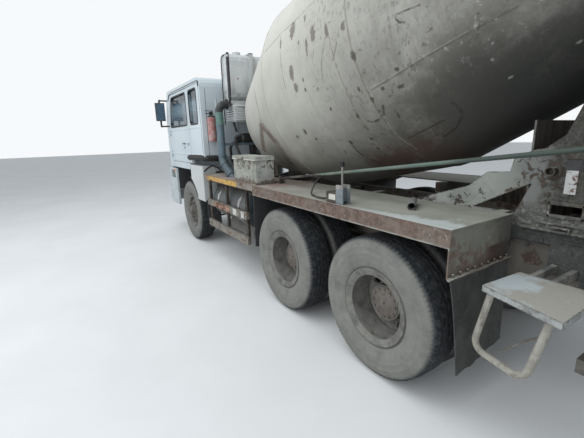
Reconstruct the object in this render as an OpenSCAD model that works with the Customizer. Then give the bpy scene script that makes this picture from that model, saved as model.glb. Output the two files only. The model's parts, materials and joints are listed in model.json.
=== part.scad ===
// Concrete mixer truck, three axles, tilting cab and rear discharge.
// X points forward, Y to the left side, Z up. Lengths are in millimetres.

/* [Chassis] */
// Distance from the middle axle to the front axle
wheelbase = 3290; // [3150:10:3600]
// Spacing of the two rear axles
tandem = 1300; // [1250:10:1400]
// Width over the frame rails
frame_w = 860; // [800:5:880]
// Height of the top of the frame rails
frame_top = 1050; // [1030:5:1090]
// Height of a frame rail
rail_h = 250; // [220:5:280]
// Thickness of a frame rail
rail_t = 10; // [8:1:14]
// Width of a rail flange
rail_flange = 80; // [60:5:90]
// Reach of the frame behind the last axle
frame_tail = 950; // [900:10:1000]
// Height of the mixer subframe on the rails
subframe_h = 100; // [80:5:120]

/* [Wheels] */
// Tyre diameter
tyre_d = 1085; // [1050:5:1100]
// Tyre section width
tyre_w = 290; // [260:5:300]
// Diameter over the rim flanges
rim_d = 596; // [580:2:610]
// Diameter of the bead seat
seat_d = 508; // [500:2:520]
// Width between the rim flanges
rim_w = 203; // [190:1:215]
// Thickness of the rim barrel
rim_t = 12; // [9:1:16]
// Spacing of the two tyres of a twin wheel
dual_gap = 320; // [315:1:330]
// Distance from the centre plane to the middle of a rear twin wheel
rear_track = 920; // [910:5:935]
// Distance from the centre plane to the middle of a front wheel
front_track = 1040; // [1020:5:1050]
// Radius of the wheel spindles
spindle_r = 45; // [38:1:50]
// Radius of the brake drums
brake_r = 205; // [190:5:215]

/* [Front axle] */
// Distance from the middle of a front wheel to its kingpin
kingpin_in = 190; // [180:2:200]
// Radius of a kingpin
kingpin_r = 20; // [16:1:24]
// Length of a steering arm behind the kingpin
arm_x = 200; // [180:5:220]
// Radius of the tie rod
tie_r = 17; // [14:1:20]

/* [Drum] */
// Largest diameter of the drum
drum_d = 2250; // [2150:10:2280]
// Wall of the drum
drum_t = 14; // [10:1:20]
// Tilt of the drum axis
drum_tilt = 12.2; // [11:0.1:13]
// Free height between the subframe and the drum
drum_gap = 70; // [60:5:120]
// Radius of the flat front head
head_r = 770; // [740:5:800]
// Radius at the seam between the two front cones
seam_r = 1006; // [980:2:1030]
// Length of the first front cone
cone1_l = 834; // [800:2:860]
// Length of the second front cone
cone2_l = 407; // [380:2:430]
// Length of the rear cone
rear_cone_l = 1672; // [1600:2:1750]
// Radius of the drum mouth
mouth_r = 622; // [600:2:650]
// Place of the drum mouth behind the last axle
mouth_x = 1225; // [1200:5:1250]
// Distance from the mouth to the roller track, along the axis
track_in = 350; // [300:10:420]
// Height of the roller track above the cone
track_h = 30; // [25:1:40]
// Width of the roller track
track_w = 90; // [70:5:110]
// Radius of a support roller
roller_r = 110; // [100:1:120]
// Angle of the rollers from the lowest point
roller_a = 35; // [32:1:38]

/* [Cab] */
// Reach of the cab in front of the front axle
cab_front = 1240; // [1200:10:1280]
// Length of the cab
cab_l = 2290; // [2250:10:2310]
// Width of the cab
cab_w = 2400; // [2380:10:2420]
// Height of the cab roof
cab_top = 2700; // [2660:10:2760]
// Height of the underside at the back of the cab
cab_low = 1530; // [1500:10:1550]
// Height of the door sill underside
sill_z = 1300; // [1290:5:1310]
// Height of the lower edge of the front panel
panel_z = 990; // [985:5:1010]
// Thickness of the cab walls and doors
wall = 50; // [40:2:56]
// Gap round a door
door_gap = 8; // [6:1:10]
// Distance from the cab back to the rear edge of the door
door_back = 660; // [640:5:700]
// Distance from the cab front to the door hinge
door_front = 350; // [330:5:370]
// Height of the lower edge of the windows
waist_z = 2040; // [2000:10:2080]
// Height of the upper edge of the windows
window_top = 2560; // [2500:10:2600]
// Height of the cab tilt pivot
pivot_z = 900; // [895:1:905]
// Distance of the tilt pivot behind the cab front
pivot_back = 100; // [95:1:105]

/* [Deck] */
// Height of the deck plates
deck_z = 1275; // [1270:5:1290]
// Distance from the centre plane to the outer deck edge
deck_y = 1245; // [1235:5:1250]
// Distance from the centre plane to the inner deck edge
deck_in = 585; // [570:5:600]
// Height of the deck skirt
skirt_h = 110; // [100:5:120]
// Reach of the deck behind the last axle
deck_back = 607; // [600:1:620]
// Front end of the broad deck, ahead of the last axle
deck_front = 1850; // [1840:5:1870]
// Thickness of the deck plate
plate_t = 6; // [5:1:8]

/* [Tanks] */
// Radius of the fuel tank
fuel_r = 250; // [220:5:260]
// Length of the fuel tank
fuel_l = 1150; // [1000:10:1180]
// Radius of an air tank
air_r = 105; // [90:5:110]
// Half width of the water tank
water_y = 860; // [820:5:880]
// Height of the water tank
water_h = 640; // [600:10:680]
// Depth of the water tank
water_d = 330; // [300:5:335]

/* [Chute] */
// Distance of the swivel behind the last axle
swivel_x = 1480; // [1460:5:1500]
// Height of the chute tilt pin
tilt_z = 1640; // [1620:5:1660]
// Slope of the parked chute
chute_slope = 30; // [28:1:32]
// Length of the main chute
chute_l = 1000; // [960:10:1040]
// Outer radius of the chute trough
chute_r = 230; // [220:2:240]
// Thickness of the trough
chute_t = 6; // [5:1:8]
// Length of the folding extension
extension_l = 700; // [640:10:720]

/* [Toolbox] */
// Length of the toolbox
toolbox_l = 620; // [560:10:640]
// Depth of the toolbox
toolbox_d = 230; // [200:5:250]
// Height of the toolbox with its lid
toolbox_h = 320; // [280:5:340]

/* [Hidden] */
$fn = 48;
// Running gap of a shaft in its bore and of a part on its seat
run_gap = 0.3;
// Clear space kept between neighbours that move
move_gap = 6;
wheel_z = tyre_d/2;
front_x = wheelbase + tandem;
rail_y = frame_w/2;
rail_bottom = frame_top - rail_h;
sub_top = frame_top + subframe_h;
// Cab places
cab_front_x = front_x + cab_front;
cab_back_x = cab_front_x - cab_l;
cab_y = cab_w/2;
pivot_x = cab_front_x - pivot_back;
arch_back = front_x - 190;
step_back = front_x + 660;
door_x0 = cab_back_x + door_back;
door_x1 = cab_front_x - door_front;
door_low = sill_z + 110;
door_top = window_top + 60;
// Bumper and front step
bumper_x = cab_front_x + 90;
bumper_top = 870;
bumper_low = 560;
bumper_y = 1220;
// Drum places, with s measured along the axis from the head towards the mouth
drum_r = drum_d/2;
head_x = cab_back_x - 610;
cylinder_s = cone1_l + cone2_l;
head_z = sub_top + drum_gap + drum_r*cos(drum_tilt) - cylinder_s*sin(drum_tilt);
drum_len = (head_x + mouth_x)/cos(drum_tilt);
rear_s = drum_len - rear_cone_l;
track_s = drum_len - track_in;
rear_slope = (drum_r - mouth_r)/rear_cone_l;
track_r = mouth_r + track_in*rear_slope + track_h;
roller_rr = track_r + roller_r + run_gap;
gear_l = 440;
foot_t = 12;
function axis_x(s) = head_x - s*cos(drum_tilt);
function axis_z(s) = head_z + s*sin(drum_tilt);
// Place of a point of the drum frame: s along the axis, u upward across it
function drum_x(s, u) = axis_x(s) + u*sin(drum_tilt);
function drum_z(s, u) = axis_z(s) + u*cos(drum_tilt);
roller_x = drum_x(track_s, -roller_rr*cos(roller_a));
roller_z = drum_z(track_s, -roller_rr*cos(roller_a));
roller_y = roller_rr*sin(roller_a);
kingpin_y = front_track - kingpin_in;
// Rear pedestal
pedestal_y = rail_y + 20;
pedestal_t = 12;
pedestal_back = roller_x - 100;
pedestal_top = roller_z - roller_r - 60;
// Water tank and cooler
water_x1 = cab_back_x - 70;
water_x0 = water_x1 - water_d;
water_z0 = 2330;
// Decks and toolbox
platform_y = 1225;
platform_x1 = cab_back_x + 60;
skirt_z = deck_z - skirt_h;
toolbox_x0 = deck_front - 30;
toolbox_y1 = platform_y - 25;
lid_h = 40;
// Chute
pin_u = 40;
chute_fold = 12;
extension_r = chute_r - 4;
tail_x = swivel_x + chute_l*cos(chute_slope) + (pin_u + 2*chute_fold + extension_r)*sin(chute_slope);
// The origin lies under the middle of the whole length
middle_x = (bumper_x - tail_x)/2;

// Points of an arc round cx, cy from angle a0 to a1 in n steps
function arc(cx, cy, r, a0, a1, n) =
    [for (i = [0:n]) [cx + r*cos(a0 + (a1 - a0)*i/n), cy + r*sin(a0 + (a1 - a0)*i/n)]];

module placed() translate([-middle_x, 0, 0]) children();

module both() {
    children();
    mirror([0, 1, 0]) children();
}

module block(x, y, z) translate([x[0], y[0], z[0]]) cube([x[1] - x[0], y[1] - y[0], z[1] - z[0]]);

// A side outline in X and Z, from y0 to y1
module side_slab(points, y0, y1)
    translate([0, y1, 0]) rotate([90, 0, 0]) linear_extrude(y1 - y0) polygon(points);

// A front outline in Y and Z, from x0 to x1
module front_slab(points, x0, x1)
    translate([x0, 0, 0]) rotate([90, 0, 90]) linear_extrude(x1 - x0) polygon(points);

module rod(p, q, r) {
    v = q - p;
    translate(p) rotate([0, acos(v[2]/norm(v)), atan2(v[1], v[0])]) cylinder(r = r, h = norm(v));
}

module along_x(r, h) rotate([0, 90, 0]) cylinder(r = r, h = h);

module along_y(r, h) rotate([-90, 0, 0]) cylinder(r = r, h = h);

// A child drawn round Z is turned so that its axis points outward on the left side
module wheel_place(x, y) translate([x, y, wheel_z]) rotate([-90, 0, 0]) children();

// The drum frame: Z along the drum axis from the head to the mouth, X upward across it
module drum_place(s = 0) translate([axis_x(s), 0, axis_z(s)]) rotate([0, drum_tilt - 90, 0]) children();

module rail() {
    outer = rail_y;
    difference() {
        block([-frame_tail, cab_front_x - 280], [outer - rail_flange, outer], [rail_bottom, frame_top]);
        block([-frame_tail - 1, cab_front_x - 279], [outer - rail_flange - 1, outer - rail_t],
              [rail_bottom + rail_t, frame_top - rail_t]);
    }
}

module frame_rails() color("dimgray") placed() {
    both() rail();
    for (x = [-frame_tail + 40, tandem/2, tandem + 720, head_x - 60, cab_front_x - 335])
        block([x - 40, x + 40], [-rail_y + rail_t, rail_y - rail_t],
              [frame_top - rail_t - 90, frame_top - rail_t]);
    // Brackets that carry the cab pivot
    both() difference() {
        block([pivot_x - 190, pivot_x + 40], [rail_y, rail_y + 30], [rail_bottom + 20, pivot_z + 40]);
        translate([pivot_x, rail_y - 1, pivot_z]) along_y(25 + run_gap, 32);
    }
    // Towing eye
    translate([cab_front_x - 281, 0, rail_bottom + 60]) difference() {
        block([-80, 0], [-rail_y + rail_t, rail_y - rail_t], [-40, 40]);
        translate([-40, 0, -41]) cylinder(r = 20, h = 82);
    }
}

module subframe() color("gray") placed() {
    both() block([-frame_tail, cab_back_x - 40], [rail_y - rail_flange, rail_y - 4], [frame_top, sub_top]);
    for (x = [-frame_tail + 30, -deck_back + 200, tandem/2, deck_front - 100, head_x - 200, head_x + 390])
        block([x - 30, x + 30], [-rail_y + rail_flange, rail_y - rail_flange], [frame_top + 10,
            sub_top - 20]);
    // Stand of the gearbox in front of the drum
    stand_x0 = axis_x(-gear_l) - 360;
    stand_x1 = axis_x(-gear_l) + 60;
    stand_top = axis_z(-gear_l) - 250;
    both() difference() {
        side_slab([[stand_x0 - 60, sub_top], [stand_x1 + 20, sub_top], [stand_x1, stand_top],
                   [stand_x0 + 60, stand_top]], 230, 250);
        side_slab([[stand_x0 + 60, sub_top + 90], [stand_x1 - 70, sub_top + 90],
                   [stand_x1 - 90, stand_top - 120], [stand_x0 + 130, stand_top - 120]], 229, 251);
    }
    block([stand_x0 + 60, stand_x1], [-300, 300], [stand_top, stand_top + 30]);
    both() block([stand_x0 - 60, water_x1 + 10], [230, rail_y - 4], [sub_top, sub_top + foot_t]);
}

module axle_eye(r) translate([0, kingpin_y, wheel_z - 50]) cylinder(r = r, h = 100);

// Front spring: half length, rise of its ends, leaf height and number of leaves
front_leaf = [750, 130, 14, 5];
front_leaf_z = 590;
front_pad = front_leaf_z + leaf_rise(front_leaf[0]*(1 - (front_leaf[3] - 1)*0.13), front_leaf[0],
    front_leaf[1])
    - front_leaf[3]*front_leaf[2] - run_gap;

module front_axle() color("dimgray") placed() translate([front_x, 0, 0]) difference() {
    union() {
        difference() {
            front_slab([[-kingpin_y, wheel_z - 40], [-640, 425], [640, 425], [kingpin_y, wheel_z - 40],
                        [kingpin_y, wheel_z + 40], [640, 515], [-640, 515], [-kingpin_y,
                            wheel_z + 40]], -45, 45);
            for (x = [[-46, -18], [18, 46]])
                front_slab([[-kingpin_y + 90, wheel_z - 16], [-640, 444], [640, 444],
                            [kingpin_y - 90, wheel_z - 16], [kingpin_y - 90, wheel_z + 16],
                            [640, 496], [-640, 496], [-kingpin_y + 90, wheel_z + 16]], x[0], x[1]);
        }
        both() axle_eye(40);
        both() block([-60, 60], [rail_y - 80, rail_y + 5], [500, front_pad]);
    }
    both() translate([0, kingpin_y, wheel_z - 60]) cylinder(r = kingpin_r + run_gap, h = 120);
}

module rear_axle(x, through) translate([x, 0, 0]) {
    if (through > 0) translate([-through, 0, wheel_z + through_z]) along_x(52, through);
    tube_end = rear_track - 270;
    translate([0, -tube_end, wheel_z]) along_y(70, 2*tube_end);
    translate([0, -110, wheel_z]) along_y(215, 220);
    translate([0, 0, wheel_z]) along_x(150, 265);
    translate([0, -rear_track - 90, wheel_z]) along_y(spindle_r, 2*rear_track + 180);
    both() translate([0, tube_end - 16, wheel_z]) along_y(180, 16);
    both() block([-60, 60], [rail_y + 5, rail_y + 95], [wheel_z + 40, spring_seat]);
}

spring_seat = 640;
trunnion_z = 500;
// Output of the middle axle: reach and height over the axle
through_x = 230;
through_z = 110;

module rear_axles() color("dimgray") placed() {
    rear_axle(0, 0);
    rear_axle(tandem, through_x);
    // Trunnion shaft that carries the rear springs
    translate([tandem/2, -rail_y - 100, trunnion_z]) along_y(45, 2*rail_y + 200);
    both() block([tandem/2 - 110, tandem/2 + 110], [rail_y, rail_y + 100], [trunnion_z - 40,
        spring_seat + 19]);
    both() side_slab([[tandem/2 - 110, trunnion_z - 40], [tandem/2 + 110, trunnion_z - 40],
        [tandem/2 + 220, frame_top - 40],
                      [tandem/2 - 220, frame_top - 40]], rail_y, rail_y + 14);
}

// Side outline of a pack of leaves: half length, rise of the ends, leaf height, number of leaves
function leaf_rise(x, half, rise) = rise*(x/half)*(x/half);
function leaf_pack(half, rise, t, n) = concat(
    [for (i = [-6:6]) [half*i/6, leaf_rise(half*i/6, half, rise)]],
    [for (i = [0:n - 1]) each [
        [half*(1 - i*0.13), leaf_rise(half*(1 - i*0.13), half, rise) - i*t],
        [half*(1 - i*0.13), leaf_rise(half*(1 - i*0.13), half, rise) - (i + 1)*t]]],
    [for (i = [n - 1:-1:0]) each [
        [-half*(1 - i*0.13), leaf_rise(half*(1 - i*0.13), half, rise) - (i + 1)*t],
        [-half*(1 - i*0.13), leaf_rise(half*(1 - i*0.13), half, rise) - i*t]]]);

module leaf_springs() color("slategray") placed() both() {
    translate([front_x, 0, front_leaf_z]) {
        side_slab(leaf_pack(front_leaf[0], front_leaf[1], front_leaf[2], front_leaf[3]),
            rail_y - 75, rail_y);
        for (x = [-front_leaf[0], front_leaf[0]]) {
            translate([x, rail_y - 75, front_leaf[1]]) along_y(26, 75);
            block([x - 40, x + 40], [rail_y - 75, rail_y], [front_leaf[1], rail_bottom - front_leaf_z]);
        }
    }
    // Rear: turned over, ends resting on the axle seats
    translate([tandem/2, 0, spring_seat + 20]) mirror([0, 0, 1])
        side_slab(leaf_pack(tandem/2 + 60, 20, 13, 7), rail_y + 16, rail_y + 94);
}

gearbox_z = 850;
gearbox_x = cab_back_x - 210;

module engine() color("darkslategray") placed() {
    block([front_x - 540, front_x + 720], [-310, 310], [640, 1230]);
    translate([gearbox_x, 0, gearbox_z]) along_x(190, front_x - 540 - gearbox_x);
    // Radiator
    block([front_x + 780, front_x + 860], [-340, 340], [760, 1240]);
    for (z = [830, 1120]) translate([front_x + 720, 150, z]) along_x(35, 60);
}

module driveshafts() color("gray") placed() {
    // Flange places, each just clear of the housing that it is bolted to
    front_end = [gearbox_x - run_gap, 0, gearbox_z];
    mid_in = [tandem + 265 + run_gap, 0, wheel_z];
    mid_out = [tandem - through_x - run_gap, 0, wheel_z + through_z];
    rear_in = [265 + run_gap, 0, wheel_z];
    rod(mid_in + [40, 0, 0], front_end - [40, 0, 0], 48);
    rod(rear_in + [40, 0, 0], mid_out - [40, 0, 0], 38);
    for (p = [front_end - [60, 0, 0], mid_in, mid_out - [60, 0, 0], rear_in]) translate(p) along_x(68, 60);
}

fuel_y = 880;
fuel_z = deck_z - 405;
air_z = 540;

module tanks() color("slategray") placed() {
    mid = (deck_front + arch_back - 420)/2;
    // Fuel tank on the left with two straps and brackets
    translate([mid - fuel_l/2, fuel_y, fuel_z]) along_x(fuel_r, fuel_l);
    for (x = [mid - fuel_l*0.32, mid + fuel_l*0.32]) {
        translate([x - 30, fuel_y, fuel_z]) along_x(fuel_r + 6, 60);
        block([x - 30, x + 30], [rail_y, fuel_y - fuel_r*0.8], [fuel_z - 60, fuel_z + 60]);
    }
    translate([mid + 120, fuel_y, fuel_z + fuel_r - 10]) cylinder(r = 45, h = 35);
    // Air tank under the fuel tank
    translate([mid - 420, fuel_y - 40, air_z - 30]) along_x(air_r, 840);
    for (x = [mid - 250, mid + 250])
        block([x - 20, x + 20], [fuel_y - 90, fuel_y + 10], [air_z, fuel_z - fuel_r + 30]);
    // Two short air tanks on the right
    air_x = mid - 180;
    for (y = [620, 860]) translate([air_x, -y, 680]) along_x(air_r, 400);
    for (x = [air_x + 60, air_x + 320]) {
        block([x - 20, x + 20], [-900, -rail_y], [800, 840]);
        for (y = [620, 860]) block([x - 20, x + 20], [-y - 40, -y + 40], [760, 805]);
    }
    // Battery box on the right
    box_x = mid + 270;
    block([box_x, box_x + 350], [-1090, -rail_y - 120], [620, 1000]);
    block([box_x - 10, box_x + 360], [-1100, -rail_y - 110], [1000, 1025]);
    for (x = [box_x + 60, box_x + 290]) block([x - 25, x + 25], [-rail_y - 125, -rail_y], [840, 900]);
}

module side_guards() color("rosybrown") placed() both() {
    x0 = deck_front + 290;
    x1 = cab_back_x + 10;
    for (z = [[810, 900], [480, 580]]) block([x0, x1], [1170, 1205], z);
    for (x = [x0 + 60, (x0 + x1)/2, x1 - 40]) block([x - 25, x + 25], [1140, 1171], [480, skirt_z + 40]);
    for (x = [x0 + 60, x1 - 40]) block([x - 25, x + 25], [rail_y - 60, 1145], [sub_top + run_gap,
        skirt_z + 40]);
}

function bumper_plan(t) = concat(
    [[step_back, bumper_y - t]],
    arc(bumper_x - t - 120, bumper_y - t - 120, 120, 90, 0, 4),
    arc(bumper_x - t - 120, -bumper_y + t + 120, 120, 0, -90, 4),
    [[step_back, -bumper_y + t]]);

module front_bumper() color("lightsteelblue") placed() {
    difference() {
        translate([0, 0, bumper_low]) linear_extrude(bumper_top - bumper_low) polygon(bumper_plan(0));
        translate([0, 0, bumper_low - 1]) linear_extrude(bumper_top - bumper_low + 2)
            polygon([for (p = bumper_plan(40)) [p[0] == step_back ? step_back - 1 : p[0], p[1]]]);
        // Lamp recesses
        both() block([bumper_x - 60, bumper_x + 1], [760, 1040], [640, 800]);
        // Number plate stays bare, the middle slot lets air through
        block([bumper_x - 60, bumper_x + 1], [-420, 420], [740, 800]);
    }
    // Brackets to the rails
    both() block([cab_front_x - 280, bumper_x - 39], [rail_y - rail_flange + 5, rail_y],
                 [rail_bottom + rail_t, bumper_top - 20]);
    // Entry steps: an outer panel with two deep treads
    both() difference() {
        block([step_back, bumper_x - 170], [900, bumper_y], [bumper_top - 1, sill_z - 30]);
        block([step_back + 90, bumper_x - 290], [940, bumper_y + 1], [1080, sill_z - 70]);
        block([step_back + 30, bumper_x - 230], [899, bumper_y - 30], [bumper_top - 2, 1050]);
    }
}

module head_lamps() color("gainsboro") placed() both() {
    block([bumper_x - 55, bumper_x - 8], [765, 1035], [645, 795]);
    for (y = [835, 965]) translate([bumper_x - 8, y, 720]) along_x(58, 6);
    block([bumper_x - 75, bumper_x - 40 - run_gap], [740, 1060], [625, 815]);
}

module front_fenders() color("whitesmoke") placed() both() {
    arch_r = 660;
    skin = 8;
    back = front_x - 930;
    difference() {
        side_slab([[back, 830], [back, 1390], [front_x - 290, 1390], [front_x - 290, 1150],
            [front_x - 600, 830]],
                  1000, 1210);
        translate([front_x, 999, wheel_z]) along_y(arch_r + skin, 203);
        side_slab([[back + skin, 829], [back + skin, 1390 - skin], [front_x, 1390 - skin], [front_x, 829]],
                  999, 1210 - skin);
        translate([front_x, 999, wheel_z]) along_y(arch_r, 220);
    }
    // Mounting arms to the rail
    for (z = [[900, 950], [1300, 1350]])
        block([back + skin, back + skin + 50], [z[0] < 1000 ? rail_y : rail_y - 50, 1001], z);
    block([back + skin, back + skin + 50], [rail_y, rail_y + 40], [900, 1350]);
}

module deck_outline(x0, x1, y0, y1, t) block([x0, x1], [y0, y1], [deck_z - t, deck_z]);

module deck_side() {
    // Broad deck over the rear wheels with its skirt and rear panel
    deck_outline(-deck_back, deck_front, deck_in, deck_y, plate_t);
    block([-deck_back, deck_front], [deck_y - 8, deck_y], [skirt_z, deck_z]);
    block([-deck_back, -deck_back + 8], [deck_in, deck_y], [990, deck_z]);
    block([-deck_back - 25, -deck_back + 8], [deck_in, deck_y], [984, 992]);
    block([deck_front - 8, deck_front], [deck_in, deck_y], [skirt_z, deck_z]);
    // Narrow platform up to the cab
    deck_outline(deck_front, platform_x1, 620, platform_y, plate_t);
    block([deck_front, platform_x1], [platform_y - 8, platform_y], [deck_z - 78, deck_z]);
    block([platform_x1 - 8, platform_x1], [620, platform_y], [deck_z - 78, deck_z]);
    // Cross arms on the subframe
    // Places of the arms and of their inner ends
    for (arm = [[-deck_back + 100, pedestal_y + pedestal_t], [tandem/2, rail_y], [deck_front - 140, rail_y],
                [head_x - 260, rail_y]])
        front_slab([[arm[1], frame_top - 20], [arm[1] + 40, frame_top + 50], [1180, deck_z - 70],
                    [1180, deck_z - plate_t], [arm[1], deck_z - plate_t]], arm[0] - 30, arm[0] + 30);
}
module side_decks() color("tan") placed() {
    both() deck_side();
    // Pipe stub that lies on the left deck
    translate([-137, 988, deck_z + 27]) rotate([0, 0, 216]) difference() {
        along_y(28, 240);
        translate([0, -1, 0]) along_y(22, 180);
    }
}

// Lowest point of the rear mudflaps
flap_low = 285;

module mudflaps() color("gray") placed() both() {
    // Behind the last wheels, hung from the rear panel, worn to a slant below
    front_slab([[deck_in + 20, flap_low + 110], [deck_y - 230, flap_low + 60], [deck_y - 175, flap_low],
                [deck_y - 90, flap_low + 180], [deck_y - 25, 700], [deck_y - 5, 984], [deck_in + 20, 984]],
               -deck_back - 14, -deck_back - 6);
    // Ahead of the middle wheels
    block([tandem + 605, tandem + 613], [deck_in + 30, platform_y - 12], [520, deck_z - plate_t]);
    // Behind the front wheels
    block([front_x - 930 - 8, front_x - 930], [960, 1200], [400, 850]);
}

module drum_gearbox() color("slategray") placed() {
    drum_place(-gear_l) {
        translate([0, 0, 0]) cylinder(r = 190, h = 120);
        translate([0, 0, 120]) cylinder(r = 245, h = 200);
        cylinder(r = 60, h = gear_l - 20);
        translate([0, 0, -60]) cylinder(r = 110, h = 60);
    }
    block([axis_x(-gear_l) - 280, axis_x(-gear_l) - 40], [-170, 170],
          [axis_z(-gear_l) - 220, axis_z(-gear_l) - 100]);
}

function cone_r(s) = mouth_r + (drum_len - s)*rear_slope;

// Wall of the drum with its drive flange, roller track and mouth rim, as radius and place along the axis
module drum() color("silver") placed() drum_place() {
    bore_r = 60 + run_gap;
    t0 = track_s - track_w/2;
    t1 = track_s + track_w/2;
    rim_s = drum_len - 40;
    rotate_extrude($fn = 96) polygon([
        [0, -10], [bore_r, -10], [bore_r, -60], [180, -60], [180, -25], [330, -25], [330, 0],
        [head_r, 0], [seam_r, cone1_l], [drum_r, cylinder_s], [drum_r, rear_s],
        [cone_r(t0), t0], [track_r, t0], [track_r, t1], [cone_r(t1), t1],
        [cone_r(rim_s), rim_s], [mouth_r + 22, rim_s], [mouth_r + 22, drum_len], [mouth_r - drum_t,
            drum_len],
        [drum_r - drum_t, rear_s], [drum_r - drum_t, cylinder_s], [seam_r - drum_t, cone1_l],
        [head_r - drum_t/2, drum_t], [0, drum_t]]);
}

module roller() difference() {
    union() {
        translate([0, 0, -60]) cylinder(r = roller_r, h = 120);
        translate([0, 0, -75]) cylinder(r = 45, h = 150);
    }
    translate([0, 0, -76]) cylinder(r = 25 + run_gap, h = 152);
}

module roller_place(side) drum_place(track_s)
    translate([-roller_rr*cos(roller_a), side*roller_rr*sin(roller_a), 0]) children();

module roller_left() color("dimgray") placed() roller_place(1) roller();
module roller_right() color("dimgray") placed() roller_place(-1) roller();

module rear_pedestal() color("lightgray") placed() {
    top = pedestal_top;
    both() difference() {
        side_slab([[420, sub_top - 60], [110, deck_z + 20], [-225, 1410], [-350, 1520], [-500,
            1530], [-520, 1620],
                   [-627, 1674], [-690, 1685], [-790, 1765], [-850, 1935], [-875, top],
                       [pedestal_back, top],
                   [pedestal_back, frame_top - 150], [-frame_tail + 160, frame_top - 150],
                       [-frame_tail + 160, sub_top - 60]],
                  pedestal_y, pedestal_y + pedestal_t);
        side_slab([[-270, deck_z - 15], [-640, 1465], [-560, deck_z - 15]], pedestal_y - 1,
            pedestal_y + pedestal_t + 1);
        block([-925, -765], [pedestal_y - 1, pedestal_y + pedestal_t + 1], [1284, 1345]);
    }
    // Foot strips that join the plates to the frame
    both() block([-frame_tail, 300], [rail_y - 4, pedestal_y + 1], [sub_top - 70, sub_top - 20]);
    both() block([-frame_tail, -frame_tail + 150], [rail_y, pedestal_y + 1], [frame_top - 140,
        frame_top - 20]);
    // Cross plates
    block([-620, -608], [-pedestal_y, pedestal_y], [sub_top, top - 160]);
    block([pedestal_back, pedestal_back + 12], [-pedestal_y, pedestal_y], [sub_top, top - 180]);
    block([pedestal_back + 10, -610], [-pedestal_y, pedestal_y], [sub_top + 220, sub_top + 232]);
    // Head beam and the four bearings of the roller pins
    block([roller_x - 170, roller_x + 130], [-roller_y - 110, roller_y + 110], [top - 20, top + 12]);
    for (side = [-1, 1], e = [-1, 1]) difference() {
        hull() {
            roller_place(side) translate([0, 0, e*95 - 12]) cylinder(r = 42, h = 24);
            translate([roller_x + (e > 0 ? -170 : 62), side*roller_y - 60, top]) cube([50, 120, 12]);
        }
        roller_place(side) translate([0, 0, -130]) cylinder(r = 24, h = 260);
    }
    for (side = [-1, 1]) roller_place(side) translate([0, 0, -110]) cylinder(r = 25, h = 220);
    // Pipe stubs on both side plates
    both() difference() {
        translate([-752, pedestal_y + 10, 1549]) along_y(28, 60);
        translate([-752, pedestal_y + 20, 1549]) along_y(22, 60);
    }
    // Arm that carries the chute swivel
    difference() {
        union() {
            block([-swivel_x, pedestal_back + 1], [-60, 60], [1180, 1300]);
            translate([-swivel_x, 0, 1180]) cylinder(r = 80, h = 120);
        }
        translate([-swivel_x, 0, 1179]) cylinder(r = 50 + run_gap, h = 122);
    }
}

hopper_leg_y = 745;
// The ladder rises behind the rear step to the legs of the hopper
function ladder_point(t) = [-1215, 0, 1010] + t*[1195 - swivel_x, 0, 2140];

module hopper() color("lightgray") placed() {
    hx0 = -drum_x(drum_len, 0) + 60;
    top_z = drum_z(drum_len, mouth_r) + 190;
    front = -hx0 - 20;
    // Charging funnel: its spout reaches into the mouth
    spout_x = front + 250;
    spout_z = [top_z - 640, top_z - 440];
    difference() {
        hull() {
            block([front - 740, front], [-480, 480], [top_z - 8, top_z]);
            block([spout_x - 8, spout_x], [-190, 190], spout_z);
        }
        hull() {
            block([front - 732, front - 8], [-472, 472], [top_z - 8, top_z + 1]);
            block([spout_x - 8, spout_x + 1], [-182, 182], [spout_z[0] + 8, spout_z[1] - 8]);
        }
    }
    // Rim of the funnel
    difference() {
        block([front - 760, front + 20], [-500, 500], [top_z - 40, top_z - 8]);
        block([front - 735, front - 5], [-475, 475], [top_z - 41, top_z - 7]);
    }
    // Collector below the mouth
    low = tilt_z + 140;
    difference() {
        hull() {
            block([-swivel_x - 330, -swivel_x + 190], [-430, 430], [low + 500, low + 508]);
            translate([-swivel_x - 60, 0, low]) cylinder(r = 200, h = 8);
        }
        hull() {
            block([-swivel_x - 322, -swivel_x + 182], [-422, 422], [low + 500, low + 509]);
            translate([-swivel_x - 60, 0, low - 1]) cylinder(r = 192, h = 9);
        }
    }
    // Legs from the pedestal to both funnels
    both() {
        rod([roller_x - 90, hopper_leg_y, pedestal_top - 4], [-swivel_x + 60, hopper_leg_y, low + 500], 32);
        rod([-swivel_x + 60, hopper_leg_y, low + 480], [front - 200, hopper_leg_y, top_z - 20], 32);
        block([roller_x - 125, roller_x - 55], [roller_y + 110, hopper_leg_y + 30],
            [pedestal_top - 20, pedestal_top + 12]);
        block([-swivel_x + 30, -swivel_x + 90], [428, hopper_leg_y], [low + 460, low + 508]);
        block([front - 230, front - 170], [490, hopper_leg_y], [top_z - 60, top_z - 10]);
    }
    // Ties to the ladder
    for (t = [0.59, 0.86]) translate(ladder_point(t) + [0, hopper_leg_y, 0]) along_y(14, 32);
}

module ladder() color("gray") placed() {
    for (y = [hopper_leg_y + 50, hopper_leg_y + 370]) rod(ladder_point(0) + [0, y, 0],
        ladder_point(1) + [0, y, 0], 18);
    for (i = [1:7]) translate(ladder_point(i/8) + [0, hopper_leg_y + 50, 0]) along_y(12, 320);
    // Bracket to the side plate of the pedestal
    block([-1250, pedestal_back + 30], [pedestal_y + pedestal_t, hopper_leg_y + 50], [1190, 1220]);
}

// Plan of the rear step, its rim moved inward by t
function step_plan(t) = [[-740 - t, 1121 - t], [-765 - t, 765 + t], [-1160 + t, 765 + t],
    [-1160 + t, 1232 - t]];

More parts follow.
